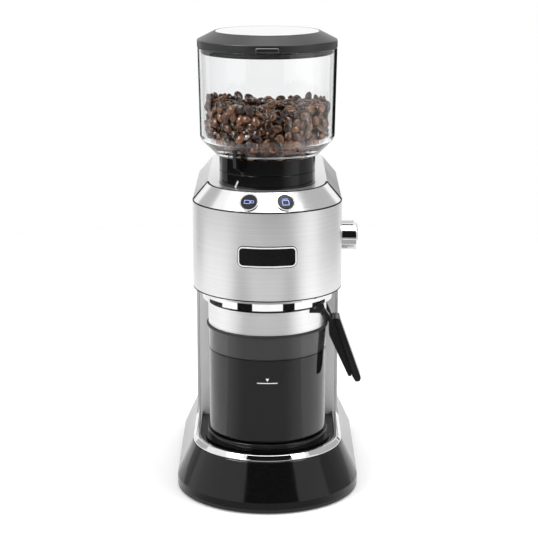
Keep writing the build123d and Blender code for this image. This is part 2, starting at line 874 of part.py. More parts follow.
# Double idler gear: small wheel in mesh with the burr gear, large wheel in mesh with the pinion
with BuildPart() as idler_gear:
    with BuildSketch(level(large_gear_low)):
        with Locations((0, idler_y)):
            Circle(axle_radius + 4)
            Circle(axle_radius + running, mode=Mode.SUBTRACT)
    extrude(amount=small_gear_low + small_gear_height - large_gear_low)
    with BuildSketch(Plane((0, burr_y + idler_y, small_gear_low))):
        gear_outline(idler_small_teeth, -90 + 180 / idler_small_teeth)
        Circle(axle_radius + running, mode=Mode.SUBTRACT)
    extrude(amount=small_gear_height)
    with BuildSketch(Plane((0, burr_y + idler_y, large_gear_low))):
        gear_outline(idler_large_teeth, 90)
        with PolarLocations(gear_module * idler_large_teeth / 3.5, 6):
            Circle(8, mode=Mode.SUBTRACT)
        Circle(axle_radius + running, mode=Mode.SUBTRACT)
    extrude(amount=large_gear_height)
keep(idler_gear, "idler_gear")

# Fixed axle of the idler, from the head floor to the gear frame
with BuildPart() as idler_axle:
    with BuildSketch(Plane((0, burr_y + idler_y, head_low))):
        Circle(axle_radius)
    extrude(amount=frame_low + frame_thick - head_low)
keep(idler_axle, "idler_axle")

# Pinion on the motor shaft
with BuildPart() as motor_pinion:
    with BuildSketch(Plane((0, burr_y + motor_y, large_gear_low - 0.5))):
        gear_outline(pinion_teeth, -90 + 180 / pinion_teeth)
        Circle(motor_shaft_radius, mode=Mode.SUBTRACT)
    extrude(amount=large_gear_height + 1)
keep(motor_pinion, "motor_pinion")

# Motor shaft, laminated core and commutator
with BuildPart() as motor_rotor:
    with BuildSketch(Plane((0, burr_y + motor_y, motor_low - 4))):
        Circle(motor_shaft_radius)
    extrude(amount=large_gear_low + large_gear_height + 1 - motor_low + 4)
    with BuildSketch(Plane((0, burr_y + motor_y, rotor_low))):
        Circle(rotor_radius)
        with PolarLocations(rotor_radius, 12):
            Rectangle(6, 2.2, mode=Mode.SUBTRACT)
    extrude(amount=rotor_top - rotor_low)
    with BuildSketch(Plane((0, burr_y + motor_y, motor_low + motor_wall + bush_length + 1))):
        Circle(motor_bush_radius + 2)
    extrude(amount=6)
keep(motor_rotor, "motor_rotor")

# Motor can with closed ends and bush seats
with BuildPart() as motor_can:
    with BuildSketch(Plane((0, burr_y + motor_y, motor_low))):
        Circle(motor_radius)
    extrude(amount=motor_top - motor_low)
    with BuildSketch(Plane((0, burr_y + motor_y, motor_low + motor_wall))):
        Circle(motor_radius - motor_wall)
    extrude(amount=motor_top - motor_low - 2 * motor_wall, mode=Mode.SUBTRACT)
    with BuildSketch(Plane((0, burr_y + motor_y, motor_low))):
        Circle(motor_bush_radius + running)
    extrude(amount=motor_top - motor_low, mode=Mode.SUBTRACT)
keep(motor_can, "motor_can")

# Bushes in both ends of the motor can
with BuildPart() as motor_bushes:
    for bush_low in (motor_low, motor_top - bush_length):
        with BuildSketch(Plane((0, burr_y + motor_y, bush_low))):
            Circle(motor_bush_radius)
            Circle(motor_shaft_radius + running, mode=Mode.SUBTRACT)
        extrude(amount=bush_length)
keep(motor_bushes, "motor_bushes")

# Bracket across the column that carries the motor from above
with BuildPart() as motor_bracket:
    with BuildSketch(level(motor_top)):
        bracket_front = column_front + band_thick
        with Locations((0, (bracket_front + inner_rear) / 2)):
            RectangleRounded(2 * (inner_radius - seam), inner_rear - bracket_front - 2 * seam, inner_corner)
        with Locations((0, motor_y)):
            Circle(motor_bush_radius + 4, mode=Mode.SUBTRACT)
            with PolarLocations(motor_radius - 7, 2):
                Circle(screw_radius + slip, mode=Mode.SUBTRACT)
    extrude(amount=bracket_thick)
keep(motor_bracket, "motor_bracket")

# Screws from the bracket into the motor can
with BuildPart() as motor_screws:
    with BuildSketch(Plane((0, burr_y + motor_y, motor_top))):
        with PolarLocations(motor_radius - 7, 2):
            Circle(screw_radius)
    extrude(amount=bracket_thick)
    with BuildSketch(Plane((0, burr_y + motor_y, motor_top + bracket_thick))):
        with PolarLocations(motor_radius - 7, 2):
            Circle(screw_head)
    extrude(amount=screw_head_height + 0.8)
keep(motor_screws, "motor_screws")

# Chute from the chamber window down to the jar
with BuildPart() as grounds_chute:
    with BuildSketch(level(chamber_top)):
        with Locations((0, chute_top_y)):
            Rectangle(chute_width, chute_top_depth)
    with BuildSketch(level(chute_low)):
        with Locations((0, chute_low_y)):
            Rectangle(chute_width, chute_low_depth)
    loft(ruled=True)
    with BuildSketch(level(chamber_top)):
        with Locations((0, chute_top_y)):
            Rectangle(chute_width - 2 * chute_wall, chute_top_depth - 2 * chute_wall)
    with BuildSketch(level(chute_low)):
        with Locations((0, chute_low_y)):
            Rectangle(chute_width - 2 * chute_wall, chute_low_depth - 2 * chute_wall)
    loft(ruled=True, mode=Mode.SUBTRACT)
    with BuildSketch(level(chamber_low)):
        with Locations((0, chute_top_y + chute_top_depth / 2)):
            Rectangle(chute_width - 2 * chute_wall, 4 * chute_wall)
    extrude(amount=chamber_top - chamber_low, mode=Mode.SUBTRACT)
    with BuildSketch(level(chamber_top)):
        with Locations((0, chute_top_y)):
            Rectangle(chute_width, chute_top_depth)
    extrude(amount=chute_wall)
keep(grounds_chute, "grounds_chute")


# Controls

# Bright bezels: flange on the panel, sleeve that guides the button down to the switch bracket
with BuildPart() as button_bezels:
    for side in sides.values():
        with BuildSketch(button_plane(side, depth=-0.1)):
            Circle(bezel_radius)
            Circle(button_radius + seam, mode=Mode.SUBTRACT)
        extrude(amount=bezel_flange)
        with BuildSketch(button_plane(side, depth=bezel_depth)):
            Circle(bezel_radius - bezel_flange)
            Circle(button_radius + seam, mode=Mode.SUBTRACT)
        extrude(amount=bezel_depth + 0.1)
keep(button_bezels, "button_bezels")

# Two push buttons, each a domed cap on a stem
for name, side in sides.items():
    with BuildPart() as button:
        with BuildSketch(button_plane(side, depth=button_height - button_proud)):
            Circle(button_radius)
        extrude(amount=button_height)
        fillet(button.faces().sort_by(Axis.Z)[-1].edges(), 0.6)
        with BuildSketch(button_plane(side, depth=bezel_depth - 3.5 - button_travel - slip)):
            Circle(2)
        extrude(amount=bezel_depth - 3.5 - button_travel - slip - button_height + button_proud)
    keep(button, f"{name}_button")

# Bent bracket that carries both switches behind the panel
with BuildPart() as switch_bracket:
    for side in sides.values():
        with BuildSketch(button_plane(side, depth=bezel_depth + bracket_board)):
            Rectangle(31, 17)
        extrude(amount=bracket_board)
keep(switch_bracket, "switch_bracket")

# Tactile switches under the buttons
with BuildPart() as button_switches:
    for side in sides.values():
        with BuildSketch(button_plane(side, depth=bezel_depth)):
            Rectangle(switch_size, switch_size)
        extrude(amount=2.5)
        with BuildSketch(button_plane(side, depth=bezel_depth - 2.5)):
            Circle(1.6)
        extrude(amount=1)
keep(button_switches, "button_switches")

knob_plane = Plane(origin=(body_radius, burr_y + knob_y, knob_z), x_dir=(0, 1, 0), z_dir=(1, 0, 0))

# Dose knob with its pointer rib
with BuildPart() as dose_knob:
    with BuildSketch(knob_plane.offset(2 * slip)):
        Circle(knob_radius)
    extrude(amount=knob_length)
    fillet(dose_knob.faces().sort_by(Axis.X)[-1].edges(), knob_rounding)
    with BuildSketch(knob_plane.offset(2 * slip)):
        with Locations((0, knob_radius + pointer_height / 2 - 1)):
            Rectangle(pointer_width, pointer_height + 2)
    extrude(amount=knob_length - pointer_setback)
    with BuildSketch(knob_plane.offset(2 * slip)):
        Circle(spindle_radius)
    extrude(amount=knob_length - 2 * pointer_setback, mode=Mode.SUBTRACT)
keep(dose_knob, "dose_knob")

# Spindle from the knob through the wall into the encoder
with BuildPart() as knob_spindle:
    with BuildSketch(knob_plane.offset(-housing_wall - encoder_depth + 2)):
        Circle(spindle_radius)
    extrude(amount=housing_wall + encoder_depth - 2 + 2 * slip + knob_length - 2 * pointer_setback)
keep(knob_spindle, "knob_spindle")

# Encoder inside the right wall
with BuildPart() as knob_encoder:
    with BuildSketch(knob_plane.offset(-housing_wall)):
        Circle(encoder_radius)
    extrude(amount=-encoder_depth)
    with BuildSketch(knob_plane.offset(-housing_wall)):
        Circle(spindle_radius + running)
    extrude(amount=2 - encoder_depth, mode=Mode.SUBTRACT)
keep(knob_encoder, "knob_encoder")

# Power board at the rear of the column, with a relay block and a capacitor
board_plane = Plane(
    origin=(0, burr_y + inner_rear - board_stand, (board_low + board_high) / 2),
    x_dir=(1, 0, 0),
    z_dir=(0, -1, 0),
)
with BuildPart() as power_board:
    with BuildSketch(board_plane):
        Rectangle(board_width, board_high - board_low)
    extrude(amount=board_thick)
    with BuildSketch(board_plane.offset(board_thick)):
        with Locations((-board_width / 4 - 6, -4)):
            Rectangle(18, 12)
    extrude(amount=10)
    with BuildSketch(board_plane.offset(board_thick)):
        with Locations((board_width / 4 + 6, -4)):
            Circle(7)
    extrude(amount=12)
keep(power_board, "power_board")

# Cord bush in the rear wall; the cord itself isn't part of the model
with BuildPart() as cord_bush:
    cord_plane = Plane(origin=(0, burr_y + body_rear, cord_bush_z), x_dir=(1, 0, 0), z_dir=(0, 1, 0))
    with BuildSketch(cord_plane.offset(-housing_wall - 2)):
        Circle(cord_bush_radius)
    extrude(amount=housing_wall + 2)
    with BuildSketch(cord_plane):
        Circle(cord_bush_radius + 2)
    extrude(amount=1.8)
    with BuildSketch(cord_plane.offset(1.8)):
        Circle(cord_bush_radius)
    with BuildSketch(cord_plane.offset(8.5)):
        Circle(cord_bore + 1.2)
    loft()
    with BuildSketch(cord_plane.offset(-housing_wall - 2)):
        Circle(cord_bore)
    extrude(amount=housing_wall + 2 + 8.5, mode=Mode.SUBTRACT)
keep(cord_bush, "cord_bush")


# Hopper

# Clear bowl: tapered wall, sloping floor and neck tube
with BuildPart() as hopper_bowl:
    with BuildSketch(front_view):
        ring_profile(
            (bowl_top_radius, bowl_top),
            (bowl_shoulder_radius, bowl_shoulder),
            (bowl_low_radius, bowl_low),
            (neck_outer, bowl_low),
            (neck_outer, neck_tube_low),
            (collar_bore, neck_tube_low),
            (collar_bore, bowl_low + 1.6),
            (bowl_low_radius - 1.5, bowl_low + bowl_wall + 0.6),
            (bowl_shoulder_radius - bowl_wall, bowl_shoulder + 1.2),
            (bowl_top_radius - bowl_wall, bowl_top),
        )
    revolve(axis=burr_axis)
    shoulder = [
        edge
        for edge in hopper_bowl.edges().filter_by(GeomType.CIRCLE)
        if abs(edge.center().Z - bowl_shoulder) < 2
    ]
    fillet(shoulder, 3.0)
keep(hopper_bowl, "hopper_bowl")

fin_side = (-sin(radians(fin_angle)), -cos(radians(fin_angle)), 0)
fin_plane = Plane(origin=(0, burr_y, 0), x_dir=fin_side, z_dir=(fin_side[1], -fin_side[0], 0))


def under_bowl(radius):
    """Height just under the sloping floor of the bowl at a distance from the burr axis."""
    slope = (bowl_shoulder - bowl_low) / (bowl_shoulder_radius - bowl_low_radius)
    return bowl_low + slope * (radius - bowl_low_radius) - slip


# Black bayonet ring of the hopper, with the pointer fin outside and two driving lugs inside
with BuildPart() as hopper_ring:
    with BuildSketch(front_view):
        ring_profile(
            (collar_radius, collar_split + slip),
            (collar_radius, bowl_low),
            (neck_outer + running, bowl_low),
            (neck_outer + running, collar_split + slip),
        )
    revolve(axis=burr_axis)
    with BuildSketch(fin_plane):
        with BuildLine():
            Polyline(
                (collar_radius - 1, fin_low),
                (collar_radius + 0.8, fin_low),
                (fin_radius, fin_corner),
                (fin_tip_radius, under_bowl(fin_tip_radius)),
                (bowl_low_radius, under_bowl(bowl_low_radius)),
                (collar_radius - 1, under_bowl(bowl_low_radius)),
                close=True,
            )
        make_face()
    extrude(amount=fin_width / 2, both=True)
    with BuildSketch(level(collar_split + slip)):
        with PolarLocations(neck_outer + 1 - lug_reach / 2, 2):
            Rectangle(lug_reach, lug_width)
    extrude(amount=neck_tube_low - collar_split - 2 * slip)
keep(hopper_ring, "hopper_ring")

# Beans in the hopper: one closed heap, crowned on top
with BuildPart() as bean_fill:
    with BuildSketch(front_view):
        with BuildLine():
            wall_radius = bowl_shoulder_radius - bowl_wall - 0.6
            Polyline(
                (0, bean_top + bean_crown),
                (0, neck_tube_low + slip),
                (collar_bore - slip, neck_tube_low + slip),
                (collar_bore - slip, bowl_low + bowl_wall + 1),
                (bowl_low_radius - 2, bowl_low + bowl_wall + 1.4),
                (wall_radius - 1.6, bowl_shoulder + 1.2),
                (wall_radius, bowl_shoulder + 4.5),
                (wall_radius, bean_top),
            )
            ThreePointArc(*dome(wall_radius, bean_top, bean_crown))
        make_face()
    revolve(axis=burr_axis)
keep(bean_fill, "bean_fill")

lid_plug_radius = bowl_top_radius - bowl_wall - slip - seal_thick
lid_rim_inner = lid_radius - lid_rim_wall
lid_under_slope = (lid_crown_low - disc_edge - 2 - lid_shoulder + 3) / (disc_radius - 3 - lid_rim_inner)


def lid_under(radius):
    """Height of the sloping underside of the lid at a distance from the burr axis."""
    return lid_shoulder - 3 + lid_under_slope * (radius - lid_rim_inner)


# Hopper lid: rim, sloping shoulder, seat for the disc and finger tab
with BuildPart() as hopper_lid:
    with BuildSketch(front_view):
        ring_profile(
            (lid_radius, bowl_top + seam),
            (lid_radius, lid_shoulder),
            (disc_radius + 1.2, lid_crown_low),
            (disc_radius + seam, lid_crown_low),
            (disc_radius + seam, lid_crown_low - disc_edge),
            (disc_radius - 3, lid_crown_low - disc_edge),
            (disc_radius - 3, lid_crown_low - disc_edge - 2),
            (lid_rim_inner, lid_shoulder - 3),
            (lid_rim_inner, bowl_top + seam),
        )
    revolve(axis=burr_axis)
    with BuildSketch(level(tab_low)):
        with Locations((0, -lid_radius - slip - tab_depth / 2)):
            Rectangle(tab_width, tab_depth)
    extrude(amount=tab_high - tab_low)
    with BuildSketch(level(bowl_top + slip)):
        with Locations((0, -lid_radius)):
            Rectangle(tab_width, 2 * tab_depth)
    extrude(amount=tab_high - bowl_top - slip)
    fillet(hopper_lid.edges().filter_by(Axis.Z).sort_by(Axis.Y)[:2], 1.0)
keep(hopper_lid, "hopper_lid")

# Domed bright disc let into the lid
with BuildPart() as lid_disc:
    with BuildSketch(front_view):
        with BuildLine():
            crown = overall_height - lid_crown_low
            Line((0, overall_height), (0, overall_height - disc_edge))
            ThreePointArc(*dome(disc_radius, lid_crown_low - disc_edge, crown))
            Line((disc_radius, lid_crown_low - disc_edge), (disc_radius, lid_crown_low))
            ThreePointArc(*dome(disc_radius, lid_crown_low, crown))
        make_face()
    revolve(axis=burr_axis)
keep(lid_disc, "lid_disc")

# Plug ring that hangs from the lid into the bowl
with BuildPart() as lid_plug:
    with BuildSketch(front_view):
        plug_inner = lid_plug_radius - lid_plug_thick
        ring_profile(
            (lid_plug_radius, lid_plug_low),
            (lid_plug_radius, lid_under(lid_plug_radius)),
            (plug_inner, lid_under(plug_inner)),
            (plug_inner, lid_plug_low),
        )
    revolve(axis=burr_axis)
keep(lid_plug, "lid_plug")

# Soft seal round the lid's plug
with BuildPart() as lid_seal:
    with BuildSketch(front_view):
        ring_profile(
            (lid_plug_radius, lid_plug_low + 0.5),
            (lid_plug_radius + seal_thick, lid_plug_low + 1.2),
            (lid_plug_radius + seal_thick, bowl_top - 0.8),
            (lid_plug_radius, bowl_top - 0.2),
        )
    revolve(axis=burr_axis)
keep(lid_seal, "lid_seal")


# Jar

# Smoke-dark jar
with BuildPart() as grounds_jar:
    with BuildSketch(front_view):
        ring_profile(
            (0, jar_low),
            (jar_radius, jar_low),
            (jar_radius, jar_top),
            (jar_radius - jar_wall, jar_top),
            (jar_radius - jar_wall, jar_low + jar_wall),
            (0, jar_low + jar_wall),
        )
    revolve(axis=burr_axis)
    fillet(grounds_jar.edges().filter_by(GeomType.CIRCLE).group_by(Axis.Z)[0], jar_rounding)
    inside = grounds_jar.edges().filter_by(GeomType.CIRCLE).group_by(Axis.Z)
    fillet([e for group in inside for e in group if abs(e.center().Z - jar_low - jar_wall) < 0.01], 3.0)
keep(grounds_jar, "grounds_jar")

# Dark sealing ring between the jar and its lid
with BuildPart() as jar_gasket:
    with BuildSketch(front_view):
        ring_profile(
            (jar_radius - jar_wall + 0.1, jar_top),
            (gasket_radius, jar_top),
            (gasket_radius, jar_top + gasket_thick),
            (jar_radius - jar_wall + 0.1, jar_top + gasket_thick),
        )
    revolve(axis=burr_axis)
keep(jar_gasket, "jar_gasket")

ear_near = eye_near + eye_thick + slip
ear_far = ear_near + ear_thick

# Lid: brushed band, top plate with the filling hole, lip, skirt inside the jar, two ears for the lever
with BuildPart() as jar_lid:
    band_low = jar_top + gasket_thick
    skirt_radius = jar_radius - jar_wall - seam
    with BuildSketch(front_view):
        ring_profile(
            (0, jar_lid_top - 2),
            (skirt_radius - jar_lid_wall, jar_lid_top - 2),
            (skirt_radius - jar_lid_wall, skirt_low),
            (skirt_radius, skirt_low),
            (skirt_radius, band_low),
            (jar_lid_radius, band_low),
            (jar_lid_radius, jar_lid_top),
            (lip_radius, jar_lid_top + 0.5),
            (lip_radius, lip_top),
            (jar_lid_radius - jar_lid_wall, lip_top),
            (jar_lid_radius - jar_lid_wall, jar_lid_top),
            (0, jar_lid_top),
        )
    revolve(axis=burr_axis)
    with BuildSketch(level(jar_lid_top - 3)):
        with Locations((0, fill_hole_y)):
            Circle(fill_hole_radius)
    extrude(amount=4, mode=Mode.SUBTRACT)
    for side in (-1, 1):
        ear_face = Plane(origin=(0, burr_y + side * ear_near, 0), x_dir=(1, 0, 0), z_dir=(0, -1, 0))
        with BuildSketch(ear_face):
            with Locations((pivot_x, pivot_z)):
                Circle(eye_radius)
            with BuildLine():
                Polyline(
                    (pivot_x - 9, lip_top - 3.4),
                    (pivot_x, lip_top - 3.4),
                    (pivot_x + eye_radius, pivot_z),
                    (pivot_x - eye_radius, pivot_z),
                    (pivot_x - eye_radius, lip_top),
                    (pivot_x - 9, lip_top),
                    close=True,
                )
            make_face()
            with Locations((pivot_x, pivot_z)):
                Circle(pin_radius + running, mode=Mode.SUBTRACT)
        extrude(amount=-side * ear_thick)
keep(jar_lid, "jar_lid")

# Hinge pin across the lid
with BuildPart() as lever_pin:
    with BuildSketch(Plane(origin=(pivot_x, burr_y - ear_far, pivot_z), x_dir=(1, 0, 0), z_dir=(0, 1, 0))):
        Circle(pin_radius)
    extrude(amount=2 * ear_far)
keep(lever_pin, "lever_pin")

# Lever: two arms from the eyes to the root, and the inner half of the paddle
with BuildPart() as lid_lever:
    with BuildSketch(front_view):
        with BuildLine():
            Polyline(
                (root_x - 3.4, root_z + 2.6),
                (root_x - 3.0, root_z - 10),
                (lever_tip_x - 8.4, lever_tip_z + 5.2),
                (lever_tip_x - 5.0, lever_tip_z + 4.6),
                (root_x + 1.4, root_z + 1.4),
                (root_x + 1.8, root_z + 4.4),
                close=True,
            )
        make_face()
    extrude(amount=paddle_width / 2, both=True)
    fillet(lid_lever.edges().filter_by(Axis.Y).sort_by(Axis.Z)[:1], 1.5)
    for side in (-1, 1):
        eye_middle = Vector(pivot_x, burr_y + side * (eye_near + eye_thick / 2), pivot_z)
        arm_end = Vector(root_x - 0.9, burr_y + side * (paddle_width / 2 - 3), root_z + 0.6)
        arm = arm_end - eye_middle
        with BuildSketch(Plane(origin=eye_middle, x_dir=(-arm.Z, 0, arm.X), z_dir=arm)):
            Rectangle(arm_height, eye_thick - 2 * slip)
        extrude(amount=arm.length)
        eye_face = Plane(origin=(0, burr_y + side * eye_near, 0), x_dir=(1, 0, 0), z_dir=(0, -1, 0))
        with BuildSketch(eye_face):
            with Locations((pivot_x, pivot_z)):
                Circle(eye_radius)
        extrude(amount=-side * eye_thick)
    with BuildSketch(front_view):
        with Locations((pivot_x, pivot_z)):
            Circle(pin_radius + running)
    extrude(amount=ear_far, both=True, mode=Mode.SUBTRACT)
    with BuildSketch(Plane(origin=(pivot_x, burr_y, pivot_z))):
        trim_span = 6 * eye_radius
        trim_y = ear_near - slip / 2 + trim_span / 2
        with Locations((0, trim_y), (0, -trim_y)):
            Rectangle(2 * trim_span, trim_span)
    extrude(amount=trim_span, both=True, mode=Mode.SUBTRACT)
keep(lid_lever, "lid_lever")

# Outer half of the paddle, longer than the inner one
with BuildPart() as lever_cover:
    with BuildSketch(front_view):
        with BuildLine():
            Polyline(
                (root_x + 1.8, root_z + 4.4),
                (root_x + 1.4, root_z + 1.4),
                (lever_tip_x - 5.0, lever_tip_z + 4.6),
                (lever_tip_x - 2.2, lever_tip_z),
                (lever_tip_x + 1.4, lever_tip_z + 0.4),
                (lever_tip_x + 2.4, lever_tip_z + 3.4),
                (root_x + 6.0, root_z + 4.2),
                close=True,
            )
        make_face()
    extrude(amount=cover_width / 2, both=True)
    fillet(lever_cover.edges().filter_by(Axis.Y).sort_by(Axis.Z)[:2], 1.2)
keep(lever_cover, "lever_cover")
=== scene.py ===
import random
from math import cos, hypot, pi, radians, sin, sqrt

import bmesh
import bpy
from mathutils import Matrix, Vector


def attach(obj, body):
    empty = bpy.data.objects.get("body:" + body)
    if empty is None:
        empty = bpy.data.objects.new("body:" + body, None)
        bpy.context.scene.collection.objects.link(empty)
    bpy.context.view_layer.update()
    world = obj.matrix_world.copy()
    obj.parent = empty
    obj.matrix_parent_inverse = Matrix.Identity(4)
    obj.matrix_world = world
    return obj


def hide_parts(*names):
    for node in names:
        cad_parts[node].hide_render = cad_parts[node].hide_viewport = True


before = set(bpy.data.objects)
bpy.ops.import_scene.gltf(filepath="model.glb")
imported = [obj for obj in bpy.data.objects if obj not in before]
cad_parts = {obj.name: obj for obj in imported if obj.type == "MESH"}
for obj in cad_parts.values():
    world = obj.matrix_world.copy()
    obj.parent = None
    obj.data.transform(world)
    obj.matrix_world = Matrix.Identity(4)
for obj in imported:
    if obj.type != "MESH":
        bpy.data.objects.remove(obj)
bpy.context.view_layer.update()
burrY = -0.0437  # upright axis of hopper, burrs, jar and round front
burrAxis = Vector((0, burrY, 0))
mm = 0.001  # outlines, edges and blocks are written in millimetres
print("frame loaded")

scene = bpy.context.scene
scene.view_settings.view_transform = "Standard"


# Camera at the photograph's viewing angle
cameraPlace = {
    "x": 0.0014, "y": burrY - 1.330, "z": 0.5077, "down": 13.47, "lens": 109.0, "sensor": 36.0, "reach": 50.0}
cameraData = bpy.data.cameras.new("camera")
cameraData.lens = cameraPlace["lens"]
cameraData.sensor_width = cameraPlace["sensor"]
cameraData.clip_end = cameraPlace["reach"]
camera = bpy.data.objects.new("camera", cameraData)
camera.location = (cameraPlace["x"], cameraPlace["y"], cameraPlace["z"])
camera.rotation_euler = (radians(90 - cameraPlace["down"]), 0, 0)
scene.collection.objects.link(camera)
scene.camera = camera


# Node groups shared by the finishes
def makeGroup(name, inputs, outputs):
    group = bpy.data.node_groups.new(name, "ShaderNodeTree")
    for label, value in inputs.items():
        socket = group.interface.new_socket(label, in_out="INPUT", socket_type="NodeSocketFloat")
        socket.default_value = value
    for label in outputs:
        group.interface.new_socket(label, in_out="OUTPUT", socket_type="NodeSocketFloat")
    return group, group.nodes.new("NodeGroupInput"), group.nodes.new("NodeGroupOutput")


def addNode(tree, kind, **values):
    node = tree.nodes.new(kind)
    for key, value in values.items():
        setattr(node, key, value)
    return node


def feed(tree, socket, value):  # links a socket, sets anything else
    if isinstance(value, bpy.types.NodeSocket):
        tree.links.new(value, socket)
    else:
        socket.default_value = value


def rangeTo(tree, source, start, end, low, high, blend="LINEAR"):
    node = addNode(tree, "ShaderNodeMapRange", interpolation_type=blend)
    values = {"Value": source, "From Min": start, "From Max": end, "To Min": low, "To Max": high}
    for label, value in values.items():
        feed(tree, node.inputs[label], value)
    return node.outputs["Result"]


def calc(tree, operation, a, b=None):
    node = addNode(tree, "ShaderNodeMath", operation=operation)
    for index, value in enumerate((a, b)):
        if value is not None:
            feed(tree, node.inputs[index], value)
    return node.outputs[0]


noiseDetail = {"grain": 3.0, "lines": 2.5, "rings": 2.0, "dust": 5.0}
noiseSpan = {"grain": (0.25, 0.75), "lines": (0.3, 0.7), "rings": (0.3, 0.7), "dust": (0.45, 0.75)}
upwardSpan = (0.3, 1.0)  # of a normal's upward part
cornerSpan = (0.52, 0.6)  # of Pointiness


def addNoise(tree, source, scale, detail, space="3D"):
    node = addNode(tree, "ShaderNodeTexNoise", noise_dimensions=space)
    feed(tree, node.inputs["W" if space == "1D" else "Vector"], source)
    feed(tree, node.inputs["Scale"], scale)
    feed(tree, node.inputs["Detail"], detail)
    return node.outputs["Fac"]


def putOut(group, source, start, end, low, high, blend="LINEAR"):  # graded value and bare height
    value = rangeTo(group, source, low, high, start.outputs["Low"], start.outputs["High"], blend)
    group.links.new(value, end.inputs["Value"])
    group.links.new(source, end.inputs["Height"])


def makeFineGrain():
    group, start, end = makeGroup("fineGrain", {"Scale": 200, "Low": 0, "High": 1}, ("Value", "Height"))
    coords = addNode(group, "ShaderNodeTexCoord")
    noise = addNoise(group, coords.outputs["Object"], start.outputs["Scale"], noiseDetail["grain"])
    putOut(group, noise, start, end, *noiseSpan["grain"], "SMOOTHERSTEP")
    return group


def makeBrushLines():  # fine lines round the upright axis
    inputs = {"Across": 2200, "Along": 6, "Low": 0, "High": 1}
    group, start, end = makeGroup("brushLines", inputs, ("Value", "Height"))
    coords = addNode(group, "ShaderNodeTexCoord")
    stretch = addNode(group, "ShaderNodeCombineXYZ")
    group.links.new(start.outputs["Along"], stretch.inputs["X"])
    group.links.new(start.outputs["Along"], stretch.inputs["Y"])
    group.links.new(start.outputs["Across"], stretch.inputs["Z"])
    product = addNode(group, "ShaderNodeVectorMath", operation="MULTIPLY")
    group.links.new(coords.outputs["Object"], product.inputs[0])
    group.links.new(stretch.outputs["Vector"], product.inputs[1])
    noise = addNoise(group, product.outputs["Vector"], 1.0, noiseDetail["lines"])
    putOut(group, noise, start, end, *noiseSpan["lines"])
    return group


def makeSpunRings():  # turning marks round the burr axis
    group, start, end = makeGroup("spunRings", {"Across": 2500, "Low": 0, "High": 1}, ("Value", "Height"))
    coords = addNode(group, "ShaderNodeTexCoord")
    parts = addNode(group, "ShaderNodeSeparateXYZ")
    group.links.new(coords.outputs["Object"], parts.inputs["Vector"])
    depth = calc(group, "SUBTRACT", parts.outputs["Y"], burrY)
    across = calc(group, "POWER", parts.outputs["X"], 2.0)
    radius = calc(group, "SQRT", calc(group, "ADD", across, calc(group, "POWER", depth, 2.0)))
    spread = calc(group, "MULTIPLY", radius, start.outputs["Across"])
    noise = addNoise(group, spread, 1.0, noiseDetail["rings"], "1D")
    putOut(group, noise, start, end, *noiseSpan["rings"])
    return group


def makeSettledDust():  # lies on faces that look up
    group, start, end = makeGroup("settledDust", {"Amount": 0.1, "Scale": 140}, ("Mask",))
    coords = addNode(group, "ShaderNodeTexCoord")
    noise = addNoise(group, coords.outputs["Object"], start.outputs["Scale"], noiseDetail["dust"])
    shape = addNode(group, "ShaderNodeNewGeometry")
    parts = addNode(group, "ShaderNodeSeparateXYZ")
    group.links.new(shape.outputs["Normal"], parts.inputs["Vector"])
    upward = rangeTo(group, parts.outputs["Z"], *upwardSpan, 0.0, 1.0)
    specks = rangeTo(group, noise, *noiseSpan["dust"], 0.0, 1.0)
    mask = calc(group, "MULTIPLY", calc(group, "MULTIPLY", upward, specks), start.outputs["Amount"])
    group.links.new(mask, end.inputs["Mask"])
    return group


def makeEdgeWearAndSheen():  # slightly paler corners: partly wear, partly a painted edge highlight
    group, start, end = makeGroup("edgeWearAndSheen", {"Amount": 0.3}, ("Mask",))
    shape = addNode(group, "ShaderNodeNewGeometry")
    sharp = rangeTo(group, shape.outputs["Pointiness"], *cornerSpan, 0.0, 1.0)
    group.links.new(calc(group, "MULTIPLY", sharp, start.outputs["Amount"]), end.inputs["Mask"])
    return group


fineGrain = makeFineGrain()
brushLines = makeBrushLines()
spunRings = makeSpunRings()
settledDust = makeSettledDust()
edgeWearAndSheen = makeEdgeWearAndSheen()


def placeGroup(tree, group, values):
    node = addNode(tree, "ShaderNodeGroup", node_tree=group)
    for label, value in values.items():
        node.inputs[label].default_value = value
    return node


def mixColour(tree, mask, first, second):
    node = addNode(tree, "ShaderNodeMix", data_type="RGBA")
    tree.links.new(mask, node.inputs[0])
    for index, colour in ((6, first), (7, second)):  # the node's colour sockets A and B
        feed(tree, node.inputs[index], (*colour, 1.0) if isinstance(colour, tuple) else colour)
    return node.outputs[2]


def mixShaders(tree, mask, first, second, end="Material Output"):
    node = addNode(tree, "ShaderNodeMixShader")
    for index, source in enumerate((mask, first.outputs[0], second.outputs[0])):
        tree.links.new(source, node.inputs[index])
    tree.links.new(node.outputs[0], tree.nodes[end].inputs["Surface"])


dustColour = (0.42, 0.40, 0.37)
smudgeScale = {"moulded": 18, "brushed": 14, "bean": 160, "clearTone": 9}  # broad patches, per metre


def newFinish(name, look):
    material = bpy.data.materials.new(name)
    material.use_nodes = True
    tree = material.node_tree
    shader = tree.nodes["Principled BSDF"]
    shader.inputs["Metallic"].default_value = look.get("metal", 0.0)
    shader.inputs["Coat Weight"].default_value = look.get("coat", 0.0)
    shader.inputs["Coat Roughness"].default_value = look.get("coatRough", 0.03)
    shader.inputs["Specular IOR Level"].default_value = look.get("specular", 0.5)
    shader.inputs["IOR"].default_value = look.get("ior", 1.5)
    shader.inputs["Anisotropic"].default_value = look.get("stretch", 0.0)
    return material, tree, shader


def addBump(tree, shader, height, depth):
    bump = addNode(tree, "ShaderNodeBump")
    bump.inputs["Strength"].default_value = 1.0
    bump.inputs["Distance"].default_value = depth
    tree.links.new(height, bump.inputs["Height"])
    tree.links.new(bump.outputs["Normal"], shader.inputs["Normal"])


